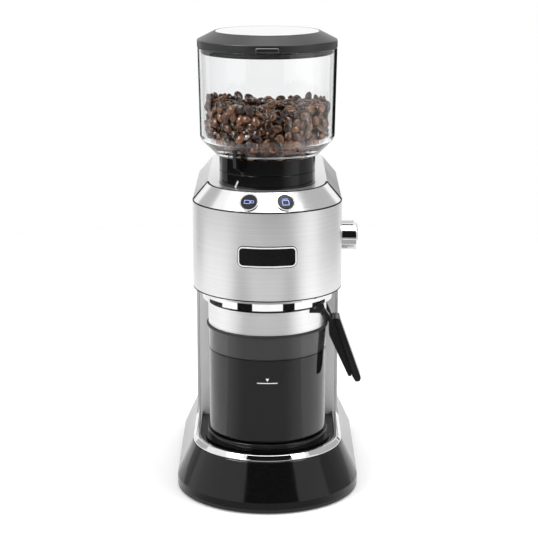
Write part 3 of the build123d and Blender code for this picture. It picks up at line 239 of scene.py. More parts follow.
def addGloss(tree, shader, scale, rough):  # smudges change the roughness
    smudge = placeGroup(tree, fineGrain, {"Scale": scale, "Low": rough[0], "High": rough[1]})
    tree.links.new(smudge.outputs["Value"], shader.inputs["Roughness"])


def makeFinish(name, look):  # grain for colour and bump, dust, paler edges from wear and a painted highlight
    material, tree, shader = newFinish(name, look)
    grain = placeGroup(tree, fineGrain, {"Scale": look["grain"]})
    colour = mixColour(tree, grain.outputs["Value"], look["dark"], look["light"])
    if look.get("dust"):
        dust = placeGroup(tree, settledDust, {"Amount": look["dust"]})
        colour = mixColour(tree, dust.outputs["Mask"], colour, dustColour)
    # paler edges: wear, and a painted edge highlight
    if look.get("wearAndSheen"):
        wearAndSheen = placeGroup(tree, edgeWearAndSheen, {"Amount": look["wearAndSheen"]})
        colour = mixColour(tree, wearAndSheen.outputs["Mask"], colour, look["wornSheenColour"])
    tree.links.new(colour, shader.inputs["Base Color"])
    addGloss(tree, shader, smudgeScale["moulded"], look["rough"])
    if look.get("bump"):
        addBump(tree, shader, grain.outputs["Height"], look["bump"])
    return material


def makeBrushed(name, look, group):  # lines for colour and bump
    material, tree, shader = newFinish(name, look)
    lines = placeGroup(tree, group, look["lines"])
    colour = mixColour(tree, lines.outputs["Value"], look["dark"], look["light"])
    tree.links.new(colour, shader.inputs["Base Color"])
    addGloss(tree, shader, smudgeScale["brushed"], look["rough"])
    addBump(tree, shader, lines.outputs["Height"], look["bump"])
    return material


def makeClear(name, look):  # light passes through, so that the contents are lit
    material, tree, shader = newFinish(name, look)
    shader.inputs["Transmission Weight"].default_value = look["through"]
    addGloss(tree, shader, look["grain"], look["rough"])
    tone = placeGroup(tree, fineGrain, {"Scale": smudgeScale["clearTone"]})
    colour = mixColour(tree, tone.outputs["Value"], look["dark"], look["light"])
    if "above" in look:  # paler where the lid's skirt lies behind the wall: painted light, so that more of the lit skirt shows through
        parts = addNode(tree, "ShaderNodeSeparateXYZ")
        tree.links.new(addNode(tree, "ShaderNodeTexCoord").outputs["Object"], parts.inputs["Vector"])
        upper = calc(tree, "GREATER_THAN", parts.outputs["Z"], look["above"]["height"])
        colour = mixColour(tree, upper, colour, look["above"]["colour"])
    tree.links.new(colour, shader.inputs["Base Color"])
    path = addNode(tree, "ShaderNodeLightPath")
    bounced = calc(tree, "MAXIMUM", path.outputs["Is Shadow Ray"], path.outputs["Is Diffuse Ray"])
    openLight = addNode(tree, "ShaderNodeBsdfTransparent")
    openLight.inputs["Color"].default_value = (*look["shade"], 1.0)
    mixShaders(tree, bounced, shader, openLight)
    return material


def grey(level, warm=0.0):
    return (level + warm, level, level - warm)


blackGloss = makeFinish("blackGloss", {
    "dark": grey(0.003), "light": grey(0.005), "grain": 420, "rough": (0.08, 0.13), "dust": 0.008,
    "specular": 0.35, "wearAndSheen": 0.12, "wornSheenColour": grey(0.03)})
blackSatin = makeFinish("blackSatin", {
    "dark": grey(0.012), "light": grey(0.018), "grain": 900, "rough": (0.30, 0.40), "dust": 0.01,
    "bump": 0.00002, "wearAndSheen": 0.2, "wornSheenColour": grey(0.05)})
blackMoulded = makeFinish("blackMoulded", {
    "dark": grey(0.007), "light": grey(0.012), "grain": 1500, "rough": (0.42, 0.55), "bump": 0.00004,
    "wearAndSheen": 0.2, "wornSheenColour": grey(0.04)})
tabGloss = makeFinish("tabGloss", {
    "dark": grey(0.010), "light": grey(0.014), "grain": 700, "rough": (0.16, 0.22), "coat": 1.0,
    "coatRough": 0.12})
# near-black, almost without gloss: for dark lines, and as painted shade in the band's gaps
gapBlack = makeFinish("gapBlack", {
    "dark": grey(0.001), "light": grey(0.002), "grain": 900, "rough": (0.55, 0.7), "specular": 0.06})
plateBlack = makeFinish("plateBlack", {
    "dark": grey(0.002), "light": grey(0.004), "grain": 600, "rough": (0.16, 0.24), "specular": 0.14})
rimSilver = makeFinish("rimSilver", {
    "dark": grey(0.82), "light": grey(0.90), "grain": 900, "rough": (0.30, 0.38), "metal": 0.25})
leverBlack = makeFinish("leverBlack", {
    "dark": grey(0.004), "light": grey(0.008), "grain": 900, "rough": (0.12, 0.19), "bump": 0.000004,
    "specular": 0.2, "wearAndSheen": 0.15, "wornSheenColour": grey(0.04)})
silverPaint = makeFinish("silverPaint", {
    "dark": grey(0.71), "light": grey(0.79), "grain": 2600, "rough": (0.30, 0.38), "metal": 0.75,
    "bump": 0.00001, "coat": 0.2})
skirtSilver = makeFinish("skirtSilver", {
    "dark": grey(0.36), "light": grey(0.42), "grain": 2600, "rough": (0.29, 0.36), "metal": 0.8,
    "bump": 0.00001, "coat": 0.2})
columnSteel = makeBrushed("columnSteel", {
    "dark": grey(0.68), "light": grey(0.94), "lines": {"Across": 2600, "Along": 900}, "rough": (0.30, 0.38),
    "metal": 0.45, "bump": 0.000006}, brushLines)
brushedSteel = makeBrushed("brushedSteel", {
    "dark": grey(0.84), "light": grey(0.93), "lines": {"Across": 3600, "Along": 5}, "rough": (0.29, 0.33),
    "metal": 1.0, "bump": 0.000004, "stretch": 0.5}, brushLines)
panelSteel = makeBrushed("panelSteel", {
    "dark": grey(0.88), "light": grey(0.93), "lines": {"Across": 2400, "Along": 4}, "rough": (0.13, 0.18),
    "metal": 1.0, "bump": 0.000002}, brushLines)
spunSilver = makeBrushed("spunSilver", {
    "dark": grey(0.86), "light": grey(0.93), "lines": {"Across": 2600}, "rough": (0.29, 0.36),
    "metal": 1.0, "bump": 0.000004}, spunRings)
polishedChrome = makeFinish("polishedChrome", {
    "dark": grey(0.80), "light": grey(0.84), "grain": 160, "rough": (0.02, 0.045), "metal": 1.0})
clearBowl = makeClear("clearBowl", {
    "dark": (0.975, 0.985, 0.99), "light": (1.0, 1.0, 1.0), "grain": 30, "rough": (0.0, 0.01), "through": 1.0,
    "ior": 1.45, "shade": (0.93, 0.94, 0.95)})
# the upper zone is tinted paler: painted light from the lid's skirt behind the wall
smokeJar = makeClear("smokeJar", {
    "dark": grey(0.055), "light": grey(0.065), "grain": 30, "rough": (0.02, 0.05), "through": 0.9,
    "ior": 1.5, "shade": (0.30, 0.30, 0.31), "above": {"height": 0.1236, "colour": grey(0.20)}})
sealRubber = makeFinish("sealRubber", {
    "dark": grey(0.012), "light": grey(0.020), "grain": 1100, "rough": (0.55, 0.68), "bump": 0.00004})
footRubber = makeFinish("footRubber", {
    "dark": grey(0.020), "light": grey(0.034), "grain": 700, "rough": (0.7, 0.85), "bump": 0.00008})
buttonGloss = makeFinish("buttonGloss", {
    "dark": grey(0.003), "light": grey(0.005), "grain": 500, "rough": (0.06, 0.11)})
printWhite = makeFinish("printWhite", {
    "dark": grey(0.70), "light": grey(0.80), "grain": 1800, "rough": (0.5, 0.6)})
symbolBlue = makeFinish("symbolBlue", {
    "dark": (0.28, 0.36, 0.78), "light": (0.36, 0.45, 0.86), "grain": 1800, "rough": (0.4, 0.5)})
burrSteel = makeFinish("burrSteel", {
    "dark": grey(0.30), "light": grey(0.42), "grain": 900, "rough": (0.22, 0.34), "metal": 1.0,
    "bump": 0.00002})
shaftSteel = makeFinish("shaftSteel", {
    "dark": grey(0.46), "light": grey(0.56), "grain": 700, "rough": (0.2, 0.32), "metal": 1.0,
    "bump": 0.00001})
acetalGear = makeFinish("acetalGear", {
    "dark": grey(0.66, 0.02), "light": grey(0.74, 0.02), "grain": 800, "rough": (0.42, 0.52),
    "bump": 0.00003})
bronzeBush = makeFinish("bronzeBush", {
    "dark": (0.36, 0.22, 0.10), "light": (0.46, 0.29, 0.14), "grain": 2200, "rough": (0.35, 0.5),
    "metal": 1.0, "bump": 0.00002})
zincPlate = makeFinish("zincPlate", {
    "dark": grey(0.52), "light": grey(0.66), "grain": 90, "rough": (0.3, 0.46), "metal": 1.0,
    "bump": 0.00001})
coreIron = makeFinish("coreIron", {
    "dark": grey(0.16, 0.01), "light": grey(0.26, 0.01), "grain": 1600, "rough": (0.4, 0.55), "metal": 1.0,
    "bump": 0.00003})
castMetal = makeFinish("castMetal", {
    "dark": grey(0.46), "light": grey(0.58), "grain": 1300, "rough": (0.4, 0.55), "metal": 1.0,
    "bump": 0.00008})
boardGreen = makeFinish("boardGreen", {
    "dark": (0.010, 0.075, 0.030), "light": (0.016, 0.11, 0.045), "grain": 380, "rough": (0.3, 0.42),
    "bump": 0.00003})
print("finishes made")


# Modelling helpers
spinSteps = {"full": 192, "half": 120}
folds = {"round": 28, "sharp": 32, "merge": 0.4}  # degrees
mergeGap = {"ring": 0.000002, "node": 0.000004}  # metres


def evenNormals(piece):  # broad faces keep their own normal
    even = piece.modifiers.new("even", "WEIGHTED_NORMAL")
    even.keep_sharp = True


def makeObject(bm, name, material):
    mesh = bpy.data.meshes.new(name)
    bm.to_mesh(mesh)
    bm.free()
    mesh.materials.append(material)
    made = bpy.data.objects.new(name, mesh)
    scene.collection.objects.link(made)
    return made


def finishPiece(bm, name, body, material, nodes=(), sharp=folds["sharp"], flat=True):
    piece = makeObject(bm, name, material)
    faces = piece.data.polygons
    faces.foreach_set("use_smooth", [True] * len(faces))
    piece.data.set_sharp_from_angle(angle=radians(sharp))
    if flat:
        evenNormals(piece)
    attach(piece, body)
    if nodes:
        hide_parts(*nodes)
    return piece


def spinRing(bm, points, steps, turn=2 * pi):  # closed (radius, height) outline about the burr axis
    verts = [bm.verts.new((r * mm, burrY, z * mm)) for r, z in points]
    edges = [bm.edges.new((a, b)) for a, b in zip(verts, verts[1:] + verts[:1])]
    bmesh.ops.spin(
        bm, geom=verts + edges, cent=burrAxis, axis=(0, 0, 1), angle=turn, steps=steps,
        use_merge=turn == 2 * pi)
    bmesh.ops.remove_doubles(bm, verts=bm.verts[:], dist=mergeGap["ring"])
    bmesh.ops.recalc_face_normals(bm, faces=bm.faces[:])


def halfRing(points):  # round the front, with closed ends
    bm = bmesh.new()
    spinRing(bm, points, spinSteps["half"], -pi)
    bmesh.ops.holes_fill(bm, edges=[edge for edge in bm.edges if edge.is_boundary])
    bmesh.ops.recalc_face_normals(bm, faces=bm.faces[:])
    return bm


def roundOff(bm, geom, width, segments, affect="EDGES"):
    return bmesh.ops.bevel(
        bm, geom=geom, offset=width, offset_type="OFFSET", segments=segments, profile=0.5,
        affect=affect, clamp_overlap=True, material=-1)


def roundEdges(bm, width, segments=3, pick=None):
    edges = [
        edge for edge in bm.edges
        if len(edge.link_faces) == 2 and edge.calc_face_angle(0) > radians(folds["round"])
        and (pick is None or pick(edge))]
    if edges:
        roundOff(bm, edges, width, segments)


def within(low, high, reach):  # picks edges between two heights, further out than reach
    def pick(edge):
        ends = [vert.co - burrAxis for vert in edge.verts]
        height = sum(end.z for end in ends) / 2 / mm
        radius = sum(hypot(end.x, end.y) for end in ends) / 2 / mm
        return low < height < high and radius > reach
    return pick


def turnedPiece(name, body, material, node, look):  # each rounding: width, lowest, highest, reach
    bm = bmesh.new()
    spinRing(bm, look["outline"], spinSteps["full"])
    for width, low, high, reach in look["rounded"]:
        roundEdges(bm, width * mm, pick=within(low, high, reach))
    finishPiece(bm, name, body, material, (node,))


def roundedBlock(size, place, rounding, segments, turn=None):
    bm = bmesh.new()
    bmesh.ops.create_cube(bm, size=1.0)
    bmesh.ops.scale(bm, verts=bm.verts[:], vec=Vector(size) * mm)
    roundOff(bm, bm.edges[:], rounding * mm, segments)
    if turn is not None:
        bmesh.ops.transform(bm, verts=bm.verts[:], matrix=turn)
    bmesh.ops.translate(bm, verts=bm.verts[:], vec=Vector(place) * mm)
    return bm


def softNode(node, body, material, width, segments=2):  # merged copy of a CAD node with rounded edges
    bm = bmesh.new()
    bm.from_mesh(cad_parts[node].data)
    bmesh.ops.remove_doubles(bm, verts=bm.verts[:], dist=mergeGap["node"])
    bmesh.ops.dissolve_limit(
        bm, verts=bm.verts[:], edges=bm.edges[:], angle_limit=radians(folds["merge"]),
        use_dissolve_boundaries=False)
    piece = finishPiece(bm, node + "_soft", body, material, (node,), flat=not width)
    if width:
        bevel = piece.modifiers.new("edges", "BEVEL")
        bevel.width = width * mm
        bevel.segments = segments
        bevel.limit_method = "ANGLE"
        bevel.angle_limit = radians(folds["sharp"])
        bevel.profile = 0.5
        bevel.use_clamp_overlap = True
        evenNormals(piece)
    return piece


def dress(material, *nodes):  # CAD nodes whose shape is right keep it
    for node in nodes:
        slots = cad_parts[node].data.materials
        slots.clear()
        slots.append(material)


# Base: black foot, silver skirt, bright trim, stepped tray
baseEdges = {"foot": 0.9, "skirt": 0.5, "trim": 1.5, "tray": 0.5, "plate": 0.4, "feet": 0.5}
softNode("base_shell", "grinder", blackGloss, baseEdges["foot"], segments=3)
softNode("base_skirt", "grinder", skirtSilver, baseEdges["skirt"])
softNode("base_trim", "grinder", polishedChrome, baseEdges["trim"], segments=5)
softNode("jar_tray", "grinder", blackGloss, baseEdges["tray"])
softNode("base_plate", "grinder", blackMoulded, baseEdges["plate"])
softNode("rubber_feet", "grinder", footRubber, baseEdges["feet"])
print("base done")


# Column and head
headEdges = {
    "shell": 0.4, "band": 0.3, "cone": 0.3, "panel": 0.25, "cover": 0.7, "plate": 0.2, "collar": 0.5,
    "bush": 0.3}
bandOutline = [(62, 176.8), (62, 248.9), (60.5, 248.9), (60.5, 176.8)]
softNode("column_shell", "grinder", silverPaint, headEdges["shell"])
softNode("column_panel", "grinder", columnSteel, headEdges["plate"])
softNode("head_shell", "grinder", silverPaint, headEdges["shell"])
bm = halfRing(bandOutline)
roundEdges(bm, headEdges["band"] * mm)
finishPiece(bm, "front_band_brushed", "grinder", brushedSteel, ("front_band",))
softNode("neck_cone", "grinder", polishedChrome, headEdges["cone"])
softNode("control_panel", "grinder", panelSteel, headEdges["panel"])
softNode("panel_frame", "grinder", gapBlack, 0)
softNode("top_cover", "grinder", silverPaint, headEdges["cover"], segments=3)
softNode("collar_base", "grinder", blackGloss, headEdges["collar"], segments=3)
softNode("cord_bush", "grinder", sealRubber, headEdges["bush"])
print("column and head done")


# Hopper: clear bowl, bayonet ring with its fin, lid with disc, seal and finger tab
bowl = {
    "outline": [
        (57, 375), (55.4, 300.7), (42, 287.6), (36.6, 287.6), (36.6, 276.8), (34.4, 276.8), (34.4, 289.2),
        (40.5, 290.4), (53.2, 301.9), (54.8, 375)],
    "rounded": [(3.0, 299, 303, 0), (0.4, 374, 376, 0)]}
hopperEdges = {"ring": 0.4, "plug": 0.3, "disc": 0.25, "seal": 0.2}
turnedPiece("hopper_bowl_clear", "hopper", clearBowl, "hopper_bowl", bowl)
softNode("hopper_ring", "hopper", blackGloss, hopperEdges["ring"])

lid = {
    "outline": [
        (57.2, 375.2), (57.2, 381.2), (43.5, 388.1), (42.5, 388.1), (42.5, 386.9), (39.3, 386.9),
        (39.3, 384.9), (53.2, 378.2), (53.2, 375.2)],
    "rounded": [(0.6, 370, 390, 41)]}
tab = {"size": (19, 3.3, 4.1), "forward": 58.6, "height": 377.65, "rounding": 1.4, "segments": 4}
turnedPiece("hopper_lid_satin", "lid", blackSatin, "hopper_lid", lid)
tabPlace = (0, burrY / mm - tab["forward"], tab["height"])
bm = roundedBlock(tab["size"], tabPlace, tab["rounding"], tab["segments"])
finishPiece(bm, "hopper_lid_tab", "lid", tabGloss, ())
softNode("lid_plug", "lid", blackSatin, hopperEdges["plug"])
softNode("lid_disc", "lid", spunSilver, hopperEdges["disc"])
softNode("lid_seal", "lid", sealRubber, hopperEdges["seal"])
print("hopper and lid done")


# Beans: one bean with a creased flat side, laid many times into the bowl
beans = {
    "seed": 11, "size": (4.5, 3.4, 2.6), "around": 8, "along": 7, "sharp": 60, "midline": 0.0001,
    "flatBelow": -0.05, "flat": 0.5, "creaseBelow": -0.1, "creaseHalf": 0.05,  # on a ball of radius 1
    "creaseDepth": 0.34, "spacing": 0.0053, "tries": 50000,
    "low": 0.2795, "depth": 0.060, "top": 0.3268, "sides": 0.006, "crown": 0.0030,  # of the heap, in metres
    "tilt": 0.28, "slope": 0.35, "spin": 6.283,  # radians
    "creaseOut": 0.55, "creaseDown": 0.6,  # shares at the wall and on top
    "long": (0.9, 1.06), "wide": (0.92, 1.05),
    "toneAndCreaseShade": (0.42, 0.30), "palest": 1.0, "darkest": 0.08, "creaseShade": 0.25}
bowlRoom = {  # how far from the axis a bean's middle may lie, in metres
    "neckTop": 0.2904, "neck": 0.0305, "floor": 0.0362, "flare": 1.1, "wall": 0.0498, "reach": 0.05,
    "wallLow": 0.291, "nearWall": 0.005, "nearTop": 0.006}
hills = {  # shares of the crown, waves in radians per metre
    "broad": 0.5, "broadX": 95, "broadY": 80, "shift": 0.6, "small": 0.35, "smallX": 210, "smallY": 130}


def makeBean():
    bm = bmesh.new()
    bmesh.ops.create_uvsphere(bm, u_segments=beans["around"], v_segments=beans["along"], radius=1.0)
    bmesh.ops.rotate(bm, verts=bm.verts[:], cent=(0, 0, 0), matrix=Matrix.Rotation(pi / 2, 3, "Y"))
    under = [v for v in bm.verts if v.co.z < beans["flatBelow"]]
    bmesh.ops.scale(bm, verts=under, vec=(1, 1, beans["flat"]))
    crease = [v for v in bm.verts if v.co.z < beans["creaseBelow"] and abs(v.co.y) < beans["creaseHalf"]]
    bmesh.ops.translate(bm, verts=crease, vec=(0, 0, beans["creaseDepth"]))
    bmesh.ops.scale(bm, verts=bm.verts[:], vec=Vector(beans["size"]) * mm)
    mesh = bpy.data.meshes.new("beanShape")
    bm.to_mesh(mesh)
    bm.free()
    return mesh


def heapRoom(z):
    if z < bowlRoom["neckTop"]:
        return bowlRoom["neck"]
    return min(bowlRoom["floor"] + (z - bowlRoom["neckTop"]) * bowlRoom["flare"], bowlRoom["wall"])


def heapTop(x, y):  # higher at the sides, with low hills
    broad = hills["broad"] * sin(hills["broadX"] * x + hills["shift"]) * cos(hills["broadY"] * y)
    waves = broad + hills["small"] * sin(hills["smallX"] * x - hills["smallY"] * y)
    return beans["top"] + beans["sides"] * (x / bowlRoom["reach"]) ** 2 + beans["crown"] * waves


def findPlaces(dice):  # middles at least one spacing apart
    taken = {}
    places = []
    step = beans["spacing"]
    for _ in range(beans["tries"]):
        z = beans["low"] + dice.random() * beans["depth"]
        radius = heapRoom(z) * sqrt(dice.random())
        turn = dice.random() * 2 * pi
        spot = Vector((radius * cos(turn), radius * sin(turn), z))
        if z > heapTop(spot.x, spot.y):
            continue
        cell = tuple(int(c // step) for c in spot)
        near = [
            other for i in (-1, 0, 1) for j in (-1, 0, 1) for k in (-1, 0, 1)
            for other in taken.get((cell[0] + i, cell[1] + j, cell[2] + k), ())]
        if any((other - spot).length < step for other in near):
            continue
        taken.setdefault(cell, []).append(spot)
        places.append(spot)
    return places


def turnBean(dice, spot):
    gap = heapRoom(spot.z) - hypot(spot.x, spot.y)
    lean = Matrix.Rotation(dice.gauss(0, beans["tilt"]), 4, "X")
    tilt = lean @ Matrix.Rotation(dice.random() * beans["spin"], 4, "Z")
    if gap < bowlRoom["nearWall"] and spot.z > bowlRoom["wallLow"]:  # against the wall: flat to it
        flip = 1 if dice.random() < beans["creaseOut"] else -1
        face = Vector((spot.x, spot.y, 0)).normalized() * flip
        return face.to_track_quat("Z", "Y").to_matrix().to_4x4() @ tilt
    if heapTop(spot.x, spot.y) - spot.z < bowlRoom["nearTop"]:  # on top: lying
        flip = Matrix.Rotation(0 if dice.random() < beans["creaseDown"] else pi, 4, "X")
        return Matrix.Rotation(dice.gauss(0, beans["slope"]), 4, "Y") @ tilt @ flip
    axis = Vector((dice.gauss(0, 1), dice.gauss(0, 1), dice.gauss(0, 1))).normalized()
    return Matrix.Rotation(dice.random() * beans["spin"], 4, axis)


def layBeans():
    dice = random.Random(beans["seed"])
    shape = makeBean()
    count = len(shape.vertices)
    creased = [rest.co.z < 0 and abs(rest.co.y) < beans["midline"] for rest in shape.vertices]
    bm = bmesh.new()
    toneAndCreaseShade = bm.verts.layers.float.new("toneAndCreaseShade")
    places = findPlaces(dice)
    for spot in places:
        turned = turnBean(dice, spot)
        long = dice.uniform(*beans["long"])
        wide = long * dice.uniform(*beans["wide"])
        bm.from_mesh(shape)
        bm.verts.ensure_lookup_table()
        verts = bm.verts[-count:]
        place = Matrix.Translation(spot + burrAxis) @ turned @ Matrix.Diagonal((long, wide, long, 1))
        bmesh.ops.transform(bm, verts=verts, matrix=place)
        tone = min(max(dice.gauss(*beans["toneAndCreaseShade"]), beans["darkest"]), beans["palest"])
        # crease vertices darker: painted shade in the crease
        for vert, inCrease in zip(verts, creased):
            vert[toneAndCreaseShade] = tone * (beans["creaseShade"] if inCrease else 1.0)
    print("beans laid:", len(places))
    bpy.data.meshes.remove(shape)
    return bm


def makeRoasted(name, look):
    material, tree, shader = newFinish(name, look)
    # per-bean tone, with painted shade in the creases
    attribute = addNode(tree, "ShaderNodeAttribute", attribute_name="toneAndCreaseShade")
    grain = placeGroup(tree, fineGrain, {"Scale": look["grain"]})
    base = mixColour(tree, attribute.outputs["Fac"], look["dark"], look["light"])
    oil = calc(tree, "MULTIPLY", grain.outputs["Value"], look["oil"])
    tree.links.new(mixColour(tree, oil, base, look["oily"]), shader.inputs["Base Color"])
    addGloss(tree, shader, smudgeScale["bean"], look["rough"])
    addBump(tree, shader, grain.outputs["Height"], look["bump"])
    return material


roastedBean = makeRoasted("roastedBean", {
    "dark": (0.012, 0.005, 0.003), "light": (0.32, 0.125, 0.046), "oily": (0.012, 0.005, 0.003), "oil": 0.35,
    "grain": 700, "rough": (0.16, 0.26), "specular": 0.8, "bump": 0.00008})
finishPiece(layBeans(), "bean_heap", "hopper", roastedBean, ("bean_fill",), sharp=beans["sharp"], flat=False)
print("beans done")


# Jar, its lid and the lever
jar = {
    "outline": [
        (0, 51.1), (49.3, 51.1), (49.3, 123.5), (49.5, 123.7), (49.5, 142.6), (47.3, 142.6), (47.3, 53.3),
        (0, 53.3)],
    "rounded": [(3.0, 50, 51.5, 40), (1.5, 53, 54, 40), (0.5, 142, 143, 0)],
    "line": [(49.2, 123.05), (49.52, 123.05), (49.52, 123.5), (49.2, 123.5)]}  # dark, under the upper zone
jarEdges = {"gasket": 0.3, "lid": 0.3, "lever": 0.5, "cover": 2.2, "pin": 0.15}
ears = {"near": 0.0319, "far": 0.0365, "side": 0.0386, "low": 0.1602}  # carry the lever, in metres
turnedPiece("grounds_jar_smoke", "jar", smokeJar, "grounds_jar", jar)
bm = bmesh.new()
spinRing(bm, jar["line"], spinSteps["full"])
finishPiece(bm, "jar_step_line", "jar", gapBlack, ())
softNode("jar_gasket", "jar", sealRubber, jarEdges["gasket"])
jarLid = softNode("jar_lid", "jar", brushedSteel, jarEdges["lid"])
jarLid.data.materials.append(leverBlack)
for face in jarLid.data.polygons:
    aside = abs(face.center.y - burrY)
    if ears["near"] < aside < ears["far"] and face.center.x > ears["side"] and face.center.z > ears["low"]:
        face.material_index = 1
softNode("lid_lever", "lever", leverBlack, jarEdges["lever"])
softNode("lever_cover", "lever", leverBlack, jarEdges["cover"], segments=4)
softNode("lever_pin", "jar", leverBlack, jarEdges["pin"])
print("jar and lever done")


# Controls: buttons with symbols, bezels, dose knob
controlEdges = {"bezels": 0.25, "knob": 0.3}
softNode("button_bezels", "grinder", polishedChrome, controlEdges["bezels"])
softNode("left_button", "button_left", buttonGloss, 0)
softNode("right_button", "button_right", buttonGloss, 0)
softNode("dose_knob", "knob", polishedChrome, controlEdges["knob"], segments=3)

panelSlope = radians(40.15)
button = {
    "angle": 15, "radius": 0.0558, "height": 0.25645, "proud": 0.0009, "ink": 0.00012, "lift": 1.2,
    "cornerSteps": 4}
symbols = {  # frames: width, height, place, corner, stroke; bars: width, height, place
    "symbol_left": {  # dose for a filter holder: basket and handle
        "side": -1, "body": "button_left", "bars": [],
        "frames": [(5.2, 3.5, (-1.5, 0), 0.5, 0.62), (3.0, 2.5, (2.65, 0.3), 0.4, 0.58)]},
    "symbol_right": {  # dose for the jar: jar and its lid
        "side": 1, "body": "button_right", "bars": [(4.6, 0.7, (0, 2.75))],
        "frames": [(6.0, 5.0, (0, -0.6), 0.9, 0.75)]}}


def buttonMatrix(side):
    angle = radians(side * button["angle"])
    outward = Vector((sin(angle) * cos(panelSlope), -cos(angle) * cos(panelSlope), sin(panelSlope)))
    across = Vector((cos(angle), sin(angle), 0))
    upward = outward.cross(across)
    centre = Vector((sin(angle) * button["radius"], burrY - cos(angle) * button["radius"], button["height"]))
    matrix = Matrix.Identity(4)
    for row in range(3):
        matrix[row][0] = across[row]
        matrix[row][1] = upward[row]
        matrix[row][2] = outward[row]
        matrix[row][3] = centre[row] + outward[row] * button["proud"]
    return matrix


def addBar(bm, width, height, place=(0, 0)):
    verts = bmesh.ops.create_grid(bm, x_segments=1, y_segments=1, size=0.5)["verts"]
    bmesh.ops.scale(bm, verts=verts, vec=(width * mm, height * mm, 1))
    bmesh.ops.translate(bm, verts=verts, vec=(place[0] * mm, place[1] * mm, 0))
    return verts


def openFace(bm, face, stroke):  # leaves only a border
    bmesh.ops.inset_individual(bm, faces=[face], thickness=stroke * mm, use_even_offset=True)
    bmesh.ops.delete(bm, geom=[face], context="FACES")


def addFrame(bm, width, height, place, corner, stroke):  # rounded outline
    corners = addBar(bm, width, height, place)
    rounded = roundOff(bm, corners, corner * mm, button["cornerSteps"], "VERTICES")
    face = max((f for v in rounded["verts"] for f in v.link_faces), key=lambda f: f.calc_area())
    openFace(bm, face, stroke)


def inkPiece(bm, name, body, material, matrix):
    bmesh.ops.recalc_face_normals(bm, faces=bm.faces[:])
    for face in bm.faces:
        if face.normal.z < 0:
            face.normal_flip()
    bmesh.ops.translate(bm, verts=bm.verts[:], vec=(0, 0, button["ink"] * button["lift"]))
    bmesh.ops.solidify(bm, geom=bm.faces[:], thickness=button["ink"])
    bmesh.ops.transform(bm, verts=bm.verts[:], matrix=matrix)
    finishPiece(bm, name, body, material, ())


for name, look in symbols.items():
    bm = bmesh.new()
    for shape in look["frames"]:
        addFrame(bm, *shape)
    for shape in look["bars"]:
        addBar(bm, *shape)
    inkPiece(bm, name, look["body"], symbolBlue, buttonMatrix(look["side"]))
print("controls done")


# Bare plate and dark lines on the front, fill line on the jar, index mark on the collar
plate = {
    "width": 48.0, "height": 16.4, "corner": 4.2, "rim": 1.1, "rimRound": 0.2, "overlap": 0.05,
    "gap": 0.65, "thick": 0.9, "face": 0.6, "back": 0.3, "centre": 213.3, "radius": 62.05, "strips": 28,
    "cornerSteps": 6}


def bendRound(bm, radius, centreZ):  # local x runs round the front, y up, z outwards
    for vert in bm.verts:
        angle = vert.co.x / radius
        reach = radius + vert.co.z
        vert.co = Vector((reach * sin(angle), burrY - reach * cos(angle), centreZ + vert.co.y))


def plateFace(width, height, corner):
    bm = bmesh.new()
    roundOff(bm, addBar(bm, width, height), corner * mm, plate["cornerSteps"], "VERTICES")
    return bm


def cutStrips(bm, width, strips):  # so that the piece can bend
    for cut in range(1, strips):
        x = (cut / strips - 0.5) * width * mm
        everything = bm.verts[:] + bm.edges[:] + bm.faces[:]
        bmesh.ops.bisect_plane(bm, geom=everything, plane_co=(x, 0, 0), plane_no=(1, 0, 0))


def raisePlate(bm, height):
    rise = bmesh.ops.extrude_face_region(bm, geom=bm.faces[:])
    raised = [part for part in rise["geom"] if isinstance(part, bmesh.types.BMVert)]
    bmesh.ops.translate(bm, verts=raised, vec=(0, 0, height * mm))
    bmesh.ops.recalc_face_normals(bm, faces=bm.faces[:])


def finishPlate(bm, name, material):
    cutStrips(bm, plate["width"], plate["strips"])
    bendRound(bm, plate["radius"] * mm, plate["centre"] * mm)
    finishPiece(bm, name, "grinder", material, ())


bm = plateFace(plate["width"], plate["height"], plate["corner"])
openFace(bm, bm.faces[:][0], plate["rim"])
raisePlate(bm, plate["thick"])
roundEdges(bm, plate["rimRound"] * mm, segments=2)
finishPlate(bm, "plate_rim", rimSilver)
inner = plate["rim"] - plate["overlap"]
bm = plateFace(plate["width"] - 2 * inner, plate["height"] - 2 * inner, plate["corner"] - inner)
raisePlate(bm, plate["thick"] * plate["face"])
finishPlate(bm, "plate_face", plateBlack)
gap = plate["gap"]
bm = plateFace(plate["width"] + 2 * gap, plate["height"] + 2 * gap, plate["corner"] + gap)
raisePlate(bm, plate["thick"] * plate["back"])
finishPlate(bm, "plate_back", gapBlack)

# near-black half rings: at the band's lower and upper edges they are painted shade in the gaps; the third is
# a dark line at the panel's top edge
darkRings = {
    "band_low_gap_shade": [(61.2, 176.2), (62.04, 176.2), (62.04, 177.1), (61.2, 177.1)],
    "band_top_gap_shade": [(61.2, 248.8), (62.04, 248.8), (62.04, 249.2), (61.55, 249.8), (61.0, 249.8)],
    "panel_top_line": [(48.1, 263.6), (49.75, 263.6), (49.75, 263.98), (48.1, 263.98)]}
for name, points in darkRings.items():
    finishPiece(halfRing(points), name, "grinder", gapBlack, ())

edgeLine = {"size": (0.5, 1.5, 19.6), "middle": (55.8, 0.35, 256.45), "rounding": 0.12, "segments": 2}
for side, name in ((-1, "panel_line_left"), (1, "panel_line_right")):
    x, y, z = edgeLine["middle"]
    lean = Matrix.Rotation(-side * panelSlope, 4, "Y")
    place = (side * x, burrY / mm + y, z)
    bm = roundedBlock(edgeLine["size"], place, edgeLine["rounding"], edgeLine["segments"], lean)
    finishPiece(bm, name, "grinder", gapBlack, ())

